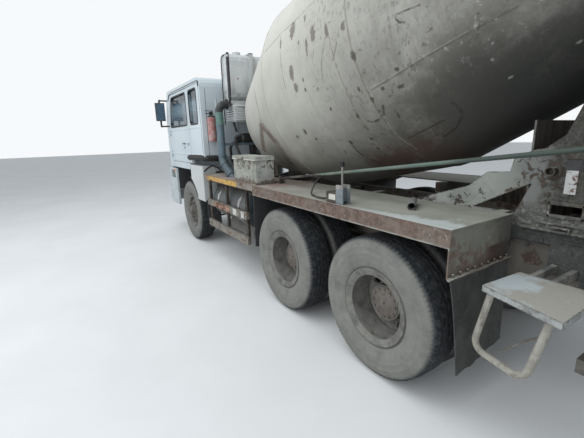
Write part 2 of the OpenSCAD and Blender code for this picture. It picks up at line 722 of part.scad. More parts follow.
// Bent tube under the outer edge: its two ends, and the lean and drop of its legs
step_z = 970;
step_a = [-790, 1104, step_z - 5];
step_b = [-1103, 1181, step_z - 5];
step_drop = 395;
step_span = norm(step_b - step_a);
step_bend = 75;
function step_point(u, v) = step_a + u/step_span*(step_b - step_a) + v*[0.2, 0, -1];
step_route = [for (p = concat([[0, 0], [0, 160]],
        arc(step_bend, step_drop - step_bend, step_bend, 180, 90, 6),
        arc(step_span - step_bend, step_drop - step_bend, step_bend, 90, 0, 6),
        [[step_span, 160], [step_span, 0]])) step_point(p[0], p[1])];

module rear_step() color("lightsteelblue") placed() {
    difference() {
        translate([0, 0, step_z - 34]) linear_extrude(34) polygon(step_plan(0));
        translate([0, 0, step_z - 35]) linear_extrude(29) polygon(step_plan(6));
    }
    polyhedron(points = tube_points(step_route, 19, unit(cross(step_b - step_a, [0.2, 0, -1]))),
               faces = tube_faces(len(step_route)));
    // Arms to the frame
    for (x = [-830, -940])
        block([x - 15, x + 15], [pedestal_y + pedestal_t, 1060], [step_z - 50, step_z - 3]);
}

module tail_lamps() color("firebrick") placed() {
    x = -frame_tail - 220;
    block([x, x + 40], [-880, 880], [560, 640]);
    both() block([x + 10, x + 60], [rail_y - rail_flange, rail_y - rail_t], [561, rail_bottom + rail_t]);
    both() block([x + 10, -frame_tail + 40], [rail_y - rail_flange, rail_y - rail_t],
        [rail_bottom - 60, rail_bottom]);
    both() block([x - 40, x + 1], [540, 860], [565, 635]);
}

// Hinge of the toolbox lid: axis along X behind the rear wall
lid_y = toolbox_y1 - toolbox_d - 9;
lid_z = deck_z + toolbox_h - 12;
lid_t = 5;

module toolbox() color("whitesmoke") placed() {
    x = [toolbox_x0, toolbox_x0 + toolbox_l];
    y = [toolbox_y1 - toolbox_d, toolbox_y1];
    z = [deck_z, deck_z + toolbox_h - lid_t - run_gap];
    difference() {
        block(x, y, z);
        block([x[0] + 5, x[1] - 5], [y[0] + 5, y[1] - 5], [z[0] + 5, z[1] + 1]);
    }
    // Eyes of the lid hinge
    for (e = [x[0] + 60, x[1] - 100]) difference() {
        union() {
            translate([e, lid_y, lid_z]) along_x(8, 40);
            block([e, e + 40], [lid_y, y[0] + 1], [lid_z - 8, lid_z]);
        }
        translate([e - 1, lid_y, lid_z]) along_x(4 + run_gap, 42);
    }
}

module toolbox_lid() color("whitesmoke") placed() {
    top = deck_z + toolbox_h;
    x = [toolbox_x0 - move_gap, toolbox_x0 + toolbox_l + move_gap];
    difference() {
        block([x[0] - 5, x[1] + 5], [lid_y + 8, toolbox_y1 + move_gap + 5], [top - lid_h, top]);
        block(x, [lid_y + 7, toolbox_y1 + move_gap], [top - lid_h - 1, top - lid_t]);
    }
    // Lid eyes beside each eye of the box, with the pin
    for (e = [toolbox_x0 + 103, toolbox_x0 + toolbox_l - 143]) {
        translate([e, lid_y, lid_z]) along_x(8, 40);
        block([e, e + 40], [lid_y, lid_y + 9], [top - lid_t, top]);
        block([e, e + 40], [lid_y - 4, lid_y + 4], [lid_z, top]);
    }
    for (e = [toolbox_x0 + 58, toolbox_x0 + toolbox_l - 104]) translate([e, lid_y, lid_z]) along_x(4, 46);
}

function water_outline(t) = let (r = 110, x0 = water_x0 + t, x1 = water_x1 - t, z0 = water_z0 + t,
                                 z1 = water_z0 + water_h - t) concat(
    arc(x0 + r, z0 + r, r, 270, 180, 3), arc(x0 + r, z1 - r, r, 180, 90, 3),
    arc(x1 - r, z1 - r, r, 90, 0, 3), arc(x1 - r, z0 + r, r, 0, -90, 3));

module water_tank() color("gainsboro") placed() {
    side_slab(water_outline(0), -water_y, water_y);
    both() side_slab(water_outline(-8), water_y*0.6, water_y*0.6 + 50);
    // Carrying frame with legs on the subframe
    block([water_x0 - 10, water_x1 + 10], [-water_y - 10, water_y + 10], [water_z0 - 40, water_z0 + 1]);
    both() for (x = [water_x0 + 20, water_x1 - 70])
        block([x, x + 50], [rail_y - 60, rail_y - 10], [sub_top + foot_t, water_z0]);
    // Filler cap and level pipe at the left end
    translate([(water_x0 + water_x1)/2, water_y*0.8, water_z0 + water_h - 5]) cylinder(r = 60, h = 40);
    translate([water_x0 + 40, water_y + 22, water_z0 + 30]) cylinder(r = 18, h = water_h - 60);
    for (z = [60, water_h - 100]) translate([water_x0 + 40, water_y - 1, water_z0 + z]) along_y(12, 24);
}

module oil_cooler() color("whitesmoke") placed() {
    x = [water_x0 - 20, water_x1 - 80];
    difference() {
        block(x, [620, 850], [2040, water_z0 - 40]);
        for (i = [0:4]) block([x[0] + 20, x[1] - 20], [835, 851], [2060 + i*38, 2078 + i*38]);
    }
    block([x[0] - 12, x[0] + 1], [640, 830], [2060, 2230]);
}

module air_intake() color("darkseagreen") placed() {
    x = cab_back_x - 340;
    y = 1050;
    r = 55;
    top = water_z0 - 150;
    // Foot: a bend towards the rear and a straight end on the platform
    bend_r = 160;
    bend_a = 60;
    bend_z = deck_z + 285;
    end = [x - bend_r*(1 - cos(bend_a)), y, bend_z - bend_r*sin(bend_a)];
    fall = end[2] - deck_z - 20;
    translate([x, y, bend_z]) cylinder(r = r, h = top - bend_z);
    translate([x - bend_r, y, bend_z]) rotate([90, 0, 0]) rotate([0, 0, -bend_a])
        rotate_extrude(angle = bend_a) translate([bend_r, 0]) circle(r = r);
    difference() {
        union() {
            rod(end, end - (fall + 60)*[tan(bend_a), 0, 1], r);
            translate(end - (fall - 40)*[tan(bend_a), 0, 1]) rotate([0, bend_a, 0]) translate([0, 0, -100])
                cylinder(r = r + 12, h = 100);
        }
        block([x - 900, x + 100], [y - 200, y + 200], [deck_z - 200, deck_z]);
    }
    translate([x, y - 100, top]) rotate([90, 0, 90]) rotate_extrude(angle = 90) translate([100, 0])
        circle(r = r);
    translate([x, y - 130, top + 100]) along_y(r, 30);
    translate([x, y - 130, top + 100]) along_y(r + 18, 12);
    // Collars over the joints
    for (z = [bend_z - 10, 1980]) translate([x, y, z]) cylinder(r = r + 7, h = 30);
    rod(end + 15*[sin(bend_a), 0, cos(bend_a)], end - 15*[sin(bend_a), 0, cos(bend_a)], r + 7);
    // Bracket to the leg of the water tank
    block([x - 15, x + 15], [rail_y - 10, y], [1700, 1740]);
}

module exhaust() color("saddlebrown") placed() {
    x = deck_front + 240;
    translate([x, -900, 960]) along_x(150, 560);
    translate([x + 560, -900, 960]) along_x(50, 60);
    translate([x - 90, -900, 960]) along_x(45, 90);
    translate([x - 60, -900, 760]) cylinder(r = 45, h = 200);
    for (xx = [x + 100, x + 440]) block([xx - 20, xx + 20], [-800, -rail_y], [920, 960]);
    block([x + 580, x + 620], [-900, -rail_y], [930, 990]);
}

module drum_controls() color("darkseagreen") placed() {
    y = 900;
    front = [deck_front - 60, y, 1330];
    back = [-1110, y, 1712];
    rod(back, front, 14);
    // Posts that hold the rod
    block([front[0] - 40, front[0] - 10], [y - 30, y + 30], [deck_z, front[2] + 34]);
    block([back[0] - 16, back[0] + 44], [pedestal_y + pedestal_t, y + 40], [1662, back[2] + 28]);
    // Lever box on the left deck, its pivot plates and the lever
    lever_x = 385;
    block([lever_x - 10, lever_x + 125], [1150, 1230], [deck_z, deck_z + 90]);
    for (y = [1150, 1218]) block([lever_x - 75, lever_x + 5], [y, y + 12], [deck_z, deck_z + 150]);
    block([lever_x - 45, lever_x - 11], [1161, 1219], [deck_z + 20, deck_z + 130]);
    translate([lever_x - 25, 1190, deck_z + 120]) cylinder(r = 8, h = 180);
    translate([lever_x - 25, 1190, deck_z + 290]) cylinder(r = 16, h = 34);
    // Control cable from the box along the deck and up to the rod
    polyhedron(points = tube_points(cable_route, cable_r), faces = tube_faces(len(cable_route)));
}

// Route of the control cable, clipped to the deck and to the rod
cable_r = 8;
cable_route = [[500, 1192, 1300], [540, 1192, 1298], [600, 1190, 1290], [660, 1184, 1285], [720,
    1174, 1284],
    [780, 1160, 1284], [835, 1140, 1286], [880, 1114, 1294], [915, 1082, 1312], [940, 1048, 1338],
    [955, 1012, 1368], [962, 975, 1396], [965, 940, 1418], [966, 905, 1434]];
cable_sides = 10;

// A swept tube: rings of points across the route, and its faces with both ends closed
function unit(v) = v/norm(v);
function route_dir(p, i) = unit(p[min(i + 1, len(p) - 1)] - p[max(i - 1, 0)]);
function tube_points(p, r, up = [0, 0, 1]) = [for (i = [0:len(p) - 1])
    let (d = route_dir(p, i), a = unit(cross(d, up)), b = cross(a, d))
    for (k = [0:cable_sides - 1]) p[i] + r*(cos(k*360/cable_sides)*a + sin(k*360/cable_sides)*b)];
function tube_faces(n) = concat([[for (k = [cable_sides - 1:-1:0]) k]],
    [for (i = [0:n - 2], k = [0:cable_sides - 1]) [i*cable_sides + k, i*cable_sides + (k + 1)%cable_sides,
        (i + 1)*cable_sides + (k + 1)%cable_sides, (i + 1)*cable_sides + k]],
    [[for (k = [0:cable_sides - 1]) (n - 1)*cable_sides + k]]);

// Side outline of the cab, moved inward by t
function cab_outline(t) = concat(
    [[cab_back_x + t, cab_low + t]],
    arc(cab_back_x + 140, cab_top - 140, 140 - t, 180, 90, 4),
    arc(cab_front_x - 430, cab_top - 140, 140 - t, 90, 58, 3),
    [[cab_front_x - 8 - t, waist_z - 190], [cab_front_x - t, sill_z + 100], [cab_front_x - t, sill_z + t]],
    [[arch_back - 30 + t, sill_z + t], [arch_back - 110 + t, cab_low + t]]);

// Plan of the cab with round front corners, moved inward by t
function cab_plan(t) = concat(
    [[cab_back_x + t, cab_y - t], [cab_back_x + t, -cab_y + t]],
    arc(cab_front_x - 150, -cab_y + 150, 150 - t, -90, 0, 4),
    arc(cab_front_x - 150, cab_y - 150, 150 - t, 0, 90, 4));

module cab_body(t) intersection() {
    side_slab(cab_outline(t), -cab_y, cab_y);
    translate([0, 0, 900]) linear_extrude(2200) polygon(cab_plan(t));
}

// Outline of a door and of its window, in X and Z
function door_outline(g) = [[door_x0 + g, door_low + g], [door_x0 + g, door_top - g],
    [door_x1 - 200 - g, door_top - g], [door_x1 - g, waist_z + 20], [door_x1 - g, door_low + g]];
function door_window(g) = [[door_x0 + 90 + g, waist_z + g], [door_x0 + 90 + g, window_top - g],
    [door_x1 - 270 - g, window_top - g], [door_x1 - 110 - g, waist_z + 60], [door_x1 - 110 - g,
        waist_z + g]];
hinge_z = [door_low + 120, waist_z - 120];
quarter_x = [cab_back_x + 180, door_x0 - 80];
screen_y = cab_y - 150;

module cab_shell() color("aliceblue") placed() {
    difference() {
        union() {
            cab_body(0);
            // Front panel below the floor
            front_panel(0);
        }
        cab_body(wall);
        // Door openings
        both() side_slab(door_outline(0), cab_y - wall - 1, cab_y + 1);
        // Quarter windows
        both() block(quarter_x, [cab_y - wall - 1, cab_y + 1], [waist_z, window_top]);
        // Windscreen
        block([cab_front_x - 400, cab_front_x + 1], [-screen_y, screen_y], [waist_z - 60, window_top - 20]);
        // Grille opening
        block([cab_front_x - 80, cab_front_x + 1], [-700, 700], [panel_z + 90, sill_z + 230]);
        // Pivot bores
        translate([pivot_x, -rail_y - 100, pivot_z]) along_y(25 + run_gap, 2*rail_y + 200);
    }
    // Hinge pins and the eyes that carry them above and below each door eye
    both() for (z = hinge_z) {
        for (dz = [-42, 42]) hinge_eye(z + dz, 1);
        translate([hinge_x, hinge_y, z - 42]) cylinder(r = hinge_pin_r, h = 120);
    }
    // Rear wall pressing
    block([cab_back_x - 12, cab_back_x + 1], [-850, 850], [cab_low + 200, cab_top - 300]);
    // Roof hatch and rain gutters
    block([cab_back_x + 800, cab_back_x + 1350], [-300, 300], [cab_top - 5, cab_top + 30]);
    both() block([cab_back_x + 60, cab_front_x - 520], [cab_y - 10, cab_y + 14], [cab_top - 76,
        cab_top - 62]);
    // Pivot arms down to the chassis brackets
    both() difference() {
        side_slab([[pivot_x - 130, sill_z + 10], [pivot_x + 46, sill_z + 10], [pivot_x + 30, pivot_z],
                   [pivot_x, pivot_z - 30], [pivot_x - 30, pivot_z]], rail_y + 38, rail_y + 60);
        translate([pivot_x, rail_y + 30, pivot_z]) along_y(25 - 0.5, 40);
    }
    both() translate([pivot_x, rail_y + 1, pivot_z]) along_y(25, 58);
}

module front_panel(t) intersection() {
    block([cab_front_x - 50, cab_front_x], [-cab_y + 60, cab_y - 60], [panel_z, sill_z + 60]);
    translate([0, 0, 900]) linear_extrude(2200) polygon(cab_plan(t));
}

module cab_glass() color("lightblue") placed() {
    both() block([quarter_x[0], quarter_x[1]], [cab_y - 30, cab_y - 24], [waist_z, window_top]);
    intersection() {
        difference() {
            side_slab(cab_outline(20), -screen_y, screen_y);
            side_slab(cab_outline(27), -screen_y - 1, screen_y + 1);
        }
        block([cab_front_x - 400, cab_front_x + 1], [-screen_y, screen_y], [waist_z - 60, window_top - 20]);
    }
}

module extinguisher() color("indianred") placed() {
    bottle_r = 62;
    x = cab_back_x - bottle_r - 10;
    y = 1075;
    z = 1770;
    h = 330;
    translate([x, y, z]) rotate_extrude() polygon(concat([[0, 0], [bottle_r - 12, 0]],
        arc(bottle_r - 12, 12, 12, -90, 0, 3), arc(bottle_r - 45, h, 45, 0, 75, 4), [[20, h + 46],
            [20, h + 60], [0, h + 60]]));
    // Valve with its two grips
    block([x - 18, x + 18], [y - 24, y + 24], [z + h + 55, z + h + 95]);
    for (g = [0, 34]) block([x - 10, x + 10], [y - 24, y + 90], [z + h + 70 + g, z + h + 78 + g]);
    block([x - 9, x + 9], [y - 22, y - 12], [z + h + 70, z + h + 110]);
    // Straps to the wall
    for (s = [70, 250]) difference() {
        union() {
            translate([x, y, z + s]) cylinder(r = bottle_r + 4, h = 30);
            block([x, cab_back_x], [y - 40, y + 40], [z + s, z + s + 30]);
        }
        translate([x, y, z + s - 1]) cylinder(r = bottle_r - 1, h = 32);
    }
    // Discharge horn clipped to the bottle
    translate([x - 40, y - bottle_r - 8, z - 215]) cylinder(r1 = 15, r2 = 11, h = 420);
    block([x - 48, x - 28], [y - bottle_r - 8, y - 40], [z + 74, z + 96]);
}

module grille() color("dimgray") placed() {
    x = [cab_front_x - 46, cab_front_x - 12];
    for (i = [0:6]) block(x, [-700, 700], [panel_z + 95 + i*62, panel_z + 123 + i*62]);
    for (y = [-700, -240, 210, 670]) block(x, [y, y + 30], [panel_z + 90, sill_z + 230]);
}

module cab_interior() color("dimgray") placed() {
    floor_z = sill_z + wall;
    back = cab_back_x + 900;
    // Seats: place of each across the cab
    for (y = [-620, 620]) {
        block([back, back + 500], [y - 250, y + 250], [floor_z + 330, floor_z + 450]);
        side_slab([[back - 20, floor_z + 400], [back + 110, floor_z + 400], [back - 60, floor_z + 1020],
                   [back - 160, floor_z + 1020]], y - 240, y + 240);
        block([back + 60, back + 420], [y - 180, y + 180], [floor_z, floor_z + 331]);
    }
    // Engine tunnel and dashboard
    block([back, cab_front_x - 330], [-280, 280], [floor_z, floor_z + 260]);
    side_slab([[cab_front_x - 420, floor_z + 420], [cab_front_x - 420, floor_z + 600],
               [cab_front_x - 340, floor_z + 640], [cab_front_x - wall - 110, floor_z + 610],
               [cab_front_x - wall - 20, floor_z + 480], [cab_front_x - wall - 20, floor_z + 420]],
              -cab_y + 200, cab_y - 200);
    both() block([door_x1 + 20, cab_front_x - 165], [cab_y - 201, cab_y - wall - run_gap],
        [floor_z + 440, floor_z + 560]);
    // Steering wheel and column
    translate([cab_front_x - 520, 620, floor_z + 740]) rotate([0, -35, 0]) {
        rotate_extrude() translate([215, 0]) circle(r = 16);
        for (a = [30, 150, 270]) rotate([0, 0, a]) block([0, 210], [-14, 14], [-6, 6]);
        translate([0, 0, -330]) cylinder(r = 30, h = 340);
    }
}

module mirrors() color("midnightblue") placed() both() {
    x = door_x1 + 44;
    block([x - 40, x], [cab_y + 60, cab_y + 230], [waist_z + 130, window_top - 60]);
    rod([x - 20, cab_y, window_top - 20], [x - 20, cab_y + 150, window_top - 20], 11);
    rod([x - 20, cab_y + 145, waist_z + 10], [x - 20, cab_y + 145, window_top], 14);
    rod([x - 20, cab_y, waist_z + 30], [x - 20, cab_y + 150, waist_z + 30], 11);
}

// Door hinges: a pin on the cab runs through an eye on the door
hinge_x = door_x1 - door_gap;
hinge_y = cab_y + 12;
hinge_r = 12;
hinge_pin_r = 6;

module hinge_eye(z, side) {
    translate([hinge_x, hinge_y, z]) cylinder(r = hinge_r, h = 40);
    block([hinge_x + (side > 0 ? 0 : -50), hinge_x + (side > 0 ? 50 : 0)], [cab_y,
        hinge_y + hinge_r], [z, z + 40]);
}

module door() difference() {
    union() {
        side_slab(door_outline(door_gap), cab_y - wall, cab_y);
        for (z = hinge_z) hinge_eye(z, -1);
    }
    side_slab(door_window(0), cab_y - wall - 1, cab_y + 1);
    // Grip recess
    block([door_x0 + 60, door_x0 + 200], [cab_y - 20, cab_y + 1], [1700, 1750]);
    for (z = hinge_z) translate([hinge_x, hinge_y, z - 1]) cylinder(r = hinge_pin_r + run_gap, h = 42);
}

module door_glass() side_slab(door_window(0), cab_y - 30, cab_y - 24);

module door_left() color("aliceblue") placed() door();
module door_right() color("aliceblue") placed() mirror([0, 1, 0]) door();
module door_glass_left() color("lightblue") placed() door_glass();
module door_glass_right() color("lightblue") placed() mirror([0, 1, 0]) door_glass();

module knuckle() {
    fork_y = kingpin_y + 48;
    plate_y = front_track - 122;
    translate([front_x, 0, 0]) {
        translate([0, kingpin_y, wheel_z - 98]) cylinder(r = kingpin_r, h = 196);
        for (z = [wheel_z + 58, wheel_z - 98]) {
            translate([0, kingpin_y, z]) cylinder(r = 38, h = 40);
            block([-38, 38], [kingpin_y, fork_y + 1], [z, z + 40]);
        }
        block([-50, 50], [fork_y, plate_y - 8], [wheel_z - 98, wheel_z + 98]);
        translate([0, plate_y - 13, wheel_z]) along_y(180, 13);
        translate([0, plate_y - 13, wheel_z]) along_y(spindle_r - 5, 13 + 122 + 60);
        // Steering arm to the tie rod
        difference() {
            union() {
                hull() {
                    translate([0, kingpin_y, wheel_z - 98]) cylinder(r = 30, h = 20, $fn = 24);
                    translate([-arm_x, kingpin_y, wheel_z - 98]) cylinder(r = 28, h = 20, $fn = 24);
                }
                translate([-arm_x, kingpin_y, wheel_z - 98]) cylinder(r = 28, h = 20);
            }
            translate([-arm_x, kingpin_y, wheel_z - 99]) cylinder(r = 11 + run_gap, h = 22);
        }
    }
}

module knuckle_left() color("dimgray") placed() knuckle();
module knuckle_right() color("dimgray") placed() mirror([0, 1, 0]) knuckle();

module tie_rod() color("dimgray") placed() {
    x = front_x - arm_x;
    y = kingpin_y;
    z = wheel_z - 98 - 26;
    translate([x, -y, z]) along_y(tie_r, 2*y);
    both() translate([x, y, z - 22]) cylinder(r = 26, h = 44);
    both() translate([x, y, z]) cylinder(r = 11, h = 26 + 20);
}

function tyre_side(w, wb, seat, flange, r) = [
    [seat, wb], [flange, wb], [flange + 6, wb + 10], [seat + 0.55*(r - seat), w], [r - 75, w - 2],
    [r - 28, w - 18], [r - 6, w - 42], [r, w - 62]];

module tyre() {
    side = tyre_side(tyre_w/2, rim_w/2, seat_d/2, rim_d/2, tyre_d/2);
    rotate_extrude($fn = 72) polygon(concat(side, [for (i = [len(side) - 1:-1:0]) [side[i][0],
        -side[i][1]]]));
}

// Barrel with both flanges, round the middle of its tyre; the flanges slope inward to the dish
module barrel() {
    b = rim_w/2;
    f = rim_d/2;
    s = seat_d/2;
    g = b + 20;
    rotate_extrude($fn = 72) polygon([[s - rim_t, -b + 24], [s - 8, -b], [f - 8, -g], [f - 3, -g], [f, -g + 5],
        [f, -b], [s, -b], [s, b], [f, b], [f, g - 5], [f - 3, g], [f - 8, g], [s - 8, b], [s - rim_t, b - 24]]);
}

// Dished disc from the barrel to the hub: d is the place of the flat, e that of the barrel joint
module disc(d, e) {
    s = seat_d/2;
    k = e > d ? 1 : -1;
    rotate_extrude($fn = 72) polygon([[90, d], [90, d + 14*k], [165, d + 14*k], [s - rim_t - 4, e],
        [s - 1, e], [s - 1, e - 20*k], [176, d]]);
}

module brake(d) {
    // The drum opens inward from the hub face at d
    rotate_extrude() polygon([[90, d], [brake_r - 40, d], [brake_r, d - 30], [brake_r, d - 180],
        [brake_r - 15, d - 180], [brake_r - 15, d - 45], [90, d - 45]]);
}

module front_rim() difference() {
    union() {
        barrel();
        disc(84, 8);
        translate([0, 0, -105]) cylinder(r = 95, h = 190);
        translate([0, 0, 84]) cylinder(r = 78, h = 66);
        rotate_extrude() polygon([[90, 50], [brake_r, 50], [brake_r, -112], [brake_r - 15, -112],
            [brake_r - 15, 35], [90, 35]]);
        for (i = [0:9]) rotate([0, 0, i*36]) translate([142, 0, 60]) cylinder(r = 15, h = 44);
    }
    translate([0, 0, -106]) cylinder(r = spindle_r - 5 + run_gap, h = 106 + 61);
    for (i = [0:7]) rotate([0, 0, i*45]) translate([205, 0, 0]) cylinder(r = 26, h = 120);
}

module twin_rims() difference() {
    half = dual_gap/2;
    union() {
        for (y = [-half, half]) translate([0, 0, y]) barrel();
        disc(0, half - rim_w/2 + 12);
        disc(0, -half + rim_w/2 - 12);
        translate([0, 0, -250]) cylinder(r = 115, h = 372);
        translate([0, 0, 121]) cylinder(r = 138, h = 24);
        brake(-75);
        for (i = [0:9]) rotate([0, 0, i*36]) translate([145, 0, 2]) cylinder(r = 15, h = 44);
    }
    translate([0, 0, -251]) cylinder(r = spindle_r + run_gap, h = 251 + 91);
    for (i = [0:7]) rotate([0, 0, i*45 + 18]) translate([205, 0, -72]) cylinder(r = 24, h = 144);
}

module twin_tyres() for (y = [-dual_gap/2, dual_gap/2]) translate([0, 0, y]) tyre();

module wheel_side(side) if (side > 0) children(); else mirror([0, 1, 0]) children();

module tyre_front_left() color("dimgray") placed() wheel_place(front_x, front_track) tyre();
module tyre_front_right() color("dimgray") placed() wheel_side(-1) wheel_place(front_x, front_track) tyre();
module tyres_mid_left() color("dimgray") placed() wheel_place(tandem, rear_track) twin_tyres();
module tyres_mid_right() color("dimgray") placed() wheel_side(-1) wheel_place(tandem, rear_track)
    twin_tyres();
module tyres_rear_left() color("dimgray") placed() wheel_place(0, rear_track) twin_tyres();
module tyres_rear_right() color("dimgray") placed() wheel_side(-1) wheel_place(0, rear_track) twin_tyres();
module rim_front_left() color("gray") placed() wheel_place(front_x, front_track) front_rim();
module rim_front_right() color("gray") placed() wheel_side(-1) wheel_place(front_x, front_track)
    front_rim();
module rims_mid_left() color("gray") placed() wheel_place(tandem, rear_track) twin_rims();
module rims_mid_right() color("gray") placed() wheel_side(-1) wheel_place(tandem, rear_track) twin_rims();
module rims_rear_left() color("gray") placed() wheel_place(0, rear_track) twin_rims();
module rims_rear_right() color("gray") placed() wheel_side(-1) wheel_place(0, rear_track) twin_rims();

// The chute frame: X along the trough away from its pin, Z upward across it
module chute_place() translate([-swivel_x, 0, tilt_z]) rotate([0, 0, 180]) rotate([0, chute_slope,
    0]) children();

// A half pipe along X with its rims at the height of the axis
module trough(r, x0, x1) translate([x0, 0, 0]) difference() {
    along_x(r, x1 - x0);
    translate([-1, 0, 0]) along_x(r - chute_t, x1 - x0 + 2);
    block([-1, x1 - x0 + 1], [-r - 1, r + 1], [0, r + 1]);
}

ear_y = chute_r + 6;
// Lug of the jack: place along the trough and depth under it
jack_at = 400;
jack_drop = 46;

module chute_swivel() color("gray") placed() {
    translate([-swivel_x, 0, 790]) cylinder(r = 50, h = 550);
    translate([-swivel_x, 0, 1300 + run_gap]) cylinder(r = 90, h = 20);
    block([-swivel_x - 60, -swivel_x + 60], [-ear_y - 40, ear_y + 40], [1318, 1340]);
    both() difference() {
        side_slab([[-swivel_x - 60, 1318], [-swivel_x + 60, 1318], [-swivel_x + 45, tilt_z + 30],
                   [-swivel_x - 45, tilt_z + 30]], ear_y + 20, ear_y + 40);
        translate([-swivel_x, ear_y + 19, tilt_z]) along_y(16 + run_gap, 22);
    }
    // Fork that holds the foot of the jack
    for (y = [-40, 26]) difference() {
        side_slab([[-swivel_x + 10, jack_foot[2] - 35], [-swivel_x + 10, jack_foot[2] + 35],
                   [jack_foot[0] - 20, jack_foot[2] + 25], [jack_foot[0] - 20, jack_foot[2] - 25]],
                       y, y + 14);
        translate([jack_foot[0], y - 1, jack_foot[2]]) along_y(12 + run_gap, 16);
    }
}

module chute_main() color("lightgray") placed() chute_place() translate([0, 0, pin_u]) {
    trough(chute_r, -60, chute_l);
    // Rim strips and ears with the tilt pins
    both() block([-60, chute_l], [chute_r - chute_t, chute_r + 14], [-8, 0]);
    both() {
        translate([0, ear_y - 8, -pin_u]) along_y(34, 18);
        translate([0, ear_y + 8, -pin_u]) along_y(16, 36);
        block([-40, 40], [chute_r - 10, ear_y + 8], [-60, -6]);
    }
    // Hinge eyes at the free end
    eye_y = chute_r + 10;
    both() difference() {
        union() {
            translate([chute_l + 10, eye_y, chute_fold]) along_y(12, 24);
            block([chute_l - 40, chute_l + 10], [eye_y, eye_y + 24], [-8, chute_fold]);
            block([chute_l - 40, chute_l], [eye_y - 8, eye_y + 1], [-8, 0]);
        }
        translate([chute_l + 10, eye_y - 1, chute_fold]) along_y(6 + run_gap, 26);
    }
    // Two cheeks with bolt heads hold the head of the jack between them
    for (y = [-40, 26]) side_slab([[jack_at - 35, -chute_r - jack_drop - 20],
        [jack_at + 35, -chute_r - jack_drop - 20], [jack_at + 70, -chute_r + 8],
        [jack_at - 70, -chute_r + 8]], y, y + 14);
    for (y = [-50, 39]) translate([jack_at, y, -chute_r - jack_drop]) along_y(13, 11);
}

module chute_extension() color("lightgray") placed() chute_place() translate([0, 0, pin_u]) {
    translate([0, 0, 2*chute_fold]) mirror([0, 0, 1]) {
        trough(extension_r, chute_l - extension_l, chute_l);
        both() block([chute_l - extension_l, chute_l], [extension_r - chute_t, extension_r + 10], [-8, 0]);
    }
    both() {
        translate([chute_l + 10, chute_r - 16, chute_fold]) along_y(12, 22);
        translate([chute_l + 10, chute_r - 16, chute_fold]) along_y(6, 48);
        block([chute_l - 30, chute_l + 10], [chute_r - 10, chute_r + 6], [chute_fold + 4, chute_fold + 20]);
    }
}

// Jack under the chute: foot beside the swivel post, head on a lug under the trough
jack_foot = [-swivel_x - 92, 0, 840];
jack_u = pin_u - chute_r - jack_drop;
jack_head = [-swivel_x - jack_at*cos(chute_slope) - jack_u*sin(chute_slope), 0,
             tilt_z - jack_at*sin(chute_slope) + jack_u*cos(chute_slope)];

module jack_place() {
    v = jack_head - jack_foot;
    translate(jack_foot) rotate([0, atan2(v[0], v[2]), 0]) children();
}

jack_len = norm(jack_head - jack_foot);

module jack_tube() color("dimgray") placed() jack_place() difference() {
    union() {
        translate([0, -24, 0]) along_y(26, 48);
        translate([0, -39, 0]) along_y(12, 78);
        cylinder(r = 24, h = jack_len - 110);
    }
    translate([0, 0, 40]) cylinder(r = 14 + run_gap, h = jack_len);
}

module jack_rod() color("silver") placed() jack_place() {
    translate([0, 0, 110]) cylinder(r = 14, h = jack_len - 110);
    translate([0, -20, jack_len]) along_y(24, 40);
}

frame_rails();
subframe();
front_axle();
rear_axles();
leaf_springs();
engine();
driveshafts();
tanks();
side_guards();
front_bumper();
head_lamps();
front_fenders();
side_decks();
mudflaps();
drum_gearbox();
rear_pedestal();
hopper();
ladder();
rear_step();
tail_lamps();
toolbox();
toolbox_lid();
water_tank();
oil_cooler();
air_intake();
exhaust();
drum_controls();
cab_shell();
cab_glass();
grille();
cab_interior();
mirrors();
extinguisher();
door_left();
door_right();
door_glass_left();
door_glass_right();
knuckle_left();
knuckle_right();
tie_rod();
tyre_front_left();
tyre_front_right();
tyres_mid_left();
tyres_mid_right();
tyres_rear_left();
tyres_rear_right();
rim_front_left();
rim_front_right();
rims_mid_left();
rims_mid_right();
rims_rear_left();
rims_rear_right();
drum();
roller_left();
roller_right();
chute_swivel();
chute_main();
chute_extension();
jack_tube();
jack_rod();
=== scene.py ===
import json
import math
import bmesh
import bpy
from mathutils import Matrix, Vector


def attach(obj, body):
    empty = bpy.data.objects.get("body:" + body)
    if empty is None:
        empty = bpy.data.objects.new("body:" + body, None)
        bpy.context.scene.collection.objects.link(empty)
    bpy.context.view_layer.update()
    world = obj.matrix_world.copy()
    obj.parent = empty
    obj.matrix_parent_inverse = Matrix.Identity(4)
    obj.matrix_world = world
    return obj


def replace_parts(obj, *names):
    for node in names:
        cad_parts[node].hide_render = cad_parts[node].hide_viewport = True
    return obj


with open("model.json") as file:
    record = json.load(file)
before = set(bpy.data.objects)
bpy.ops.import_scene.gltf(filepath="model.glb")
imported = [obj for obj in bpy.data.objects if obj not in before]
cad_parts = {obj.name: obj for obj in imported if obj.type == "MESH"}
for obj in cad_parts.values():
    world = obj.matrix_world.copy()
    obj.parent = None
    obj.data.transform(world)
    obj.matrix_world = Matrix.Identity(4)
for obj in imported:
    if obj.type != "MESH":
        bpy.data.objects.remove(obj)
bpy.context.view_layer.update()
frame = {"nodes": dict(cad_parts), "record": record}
NODES = frame["nodes"]

# Lengths below are in millimetres with X = 0 at the last axle, as in the part's source
MIDDLE_X = 1714.49
FRONT_AXLE_X, TANDEM_X, WHEEL_Z = 4590, 1300, 542.5
DRUM_TILT = math.radians(12.2)
HEAD_X, HEAD_Z = 2930.0, 2057.35
TURN = 2 * math.pi
DRUM_SEAMS = (0.834, 1.241, 2.579)
SIDES = ((1, "left"), (-1, "right"))
M = {}


def place(x, y, z):
    return Vector(((x - MIDDLE_X) / 1000, y / 1000, z / 1000))


def path(side, *points):
    """Places in metres; side is 1 on the left and -1 on the right."""
    return [place(x, side * y, z) for x, y, z in points]


def flank(side, a, b):
    return sorted((side * a, side * b))


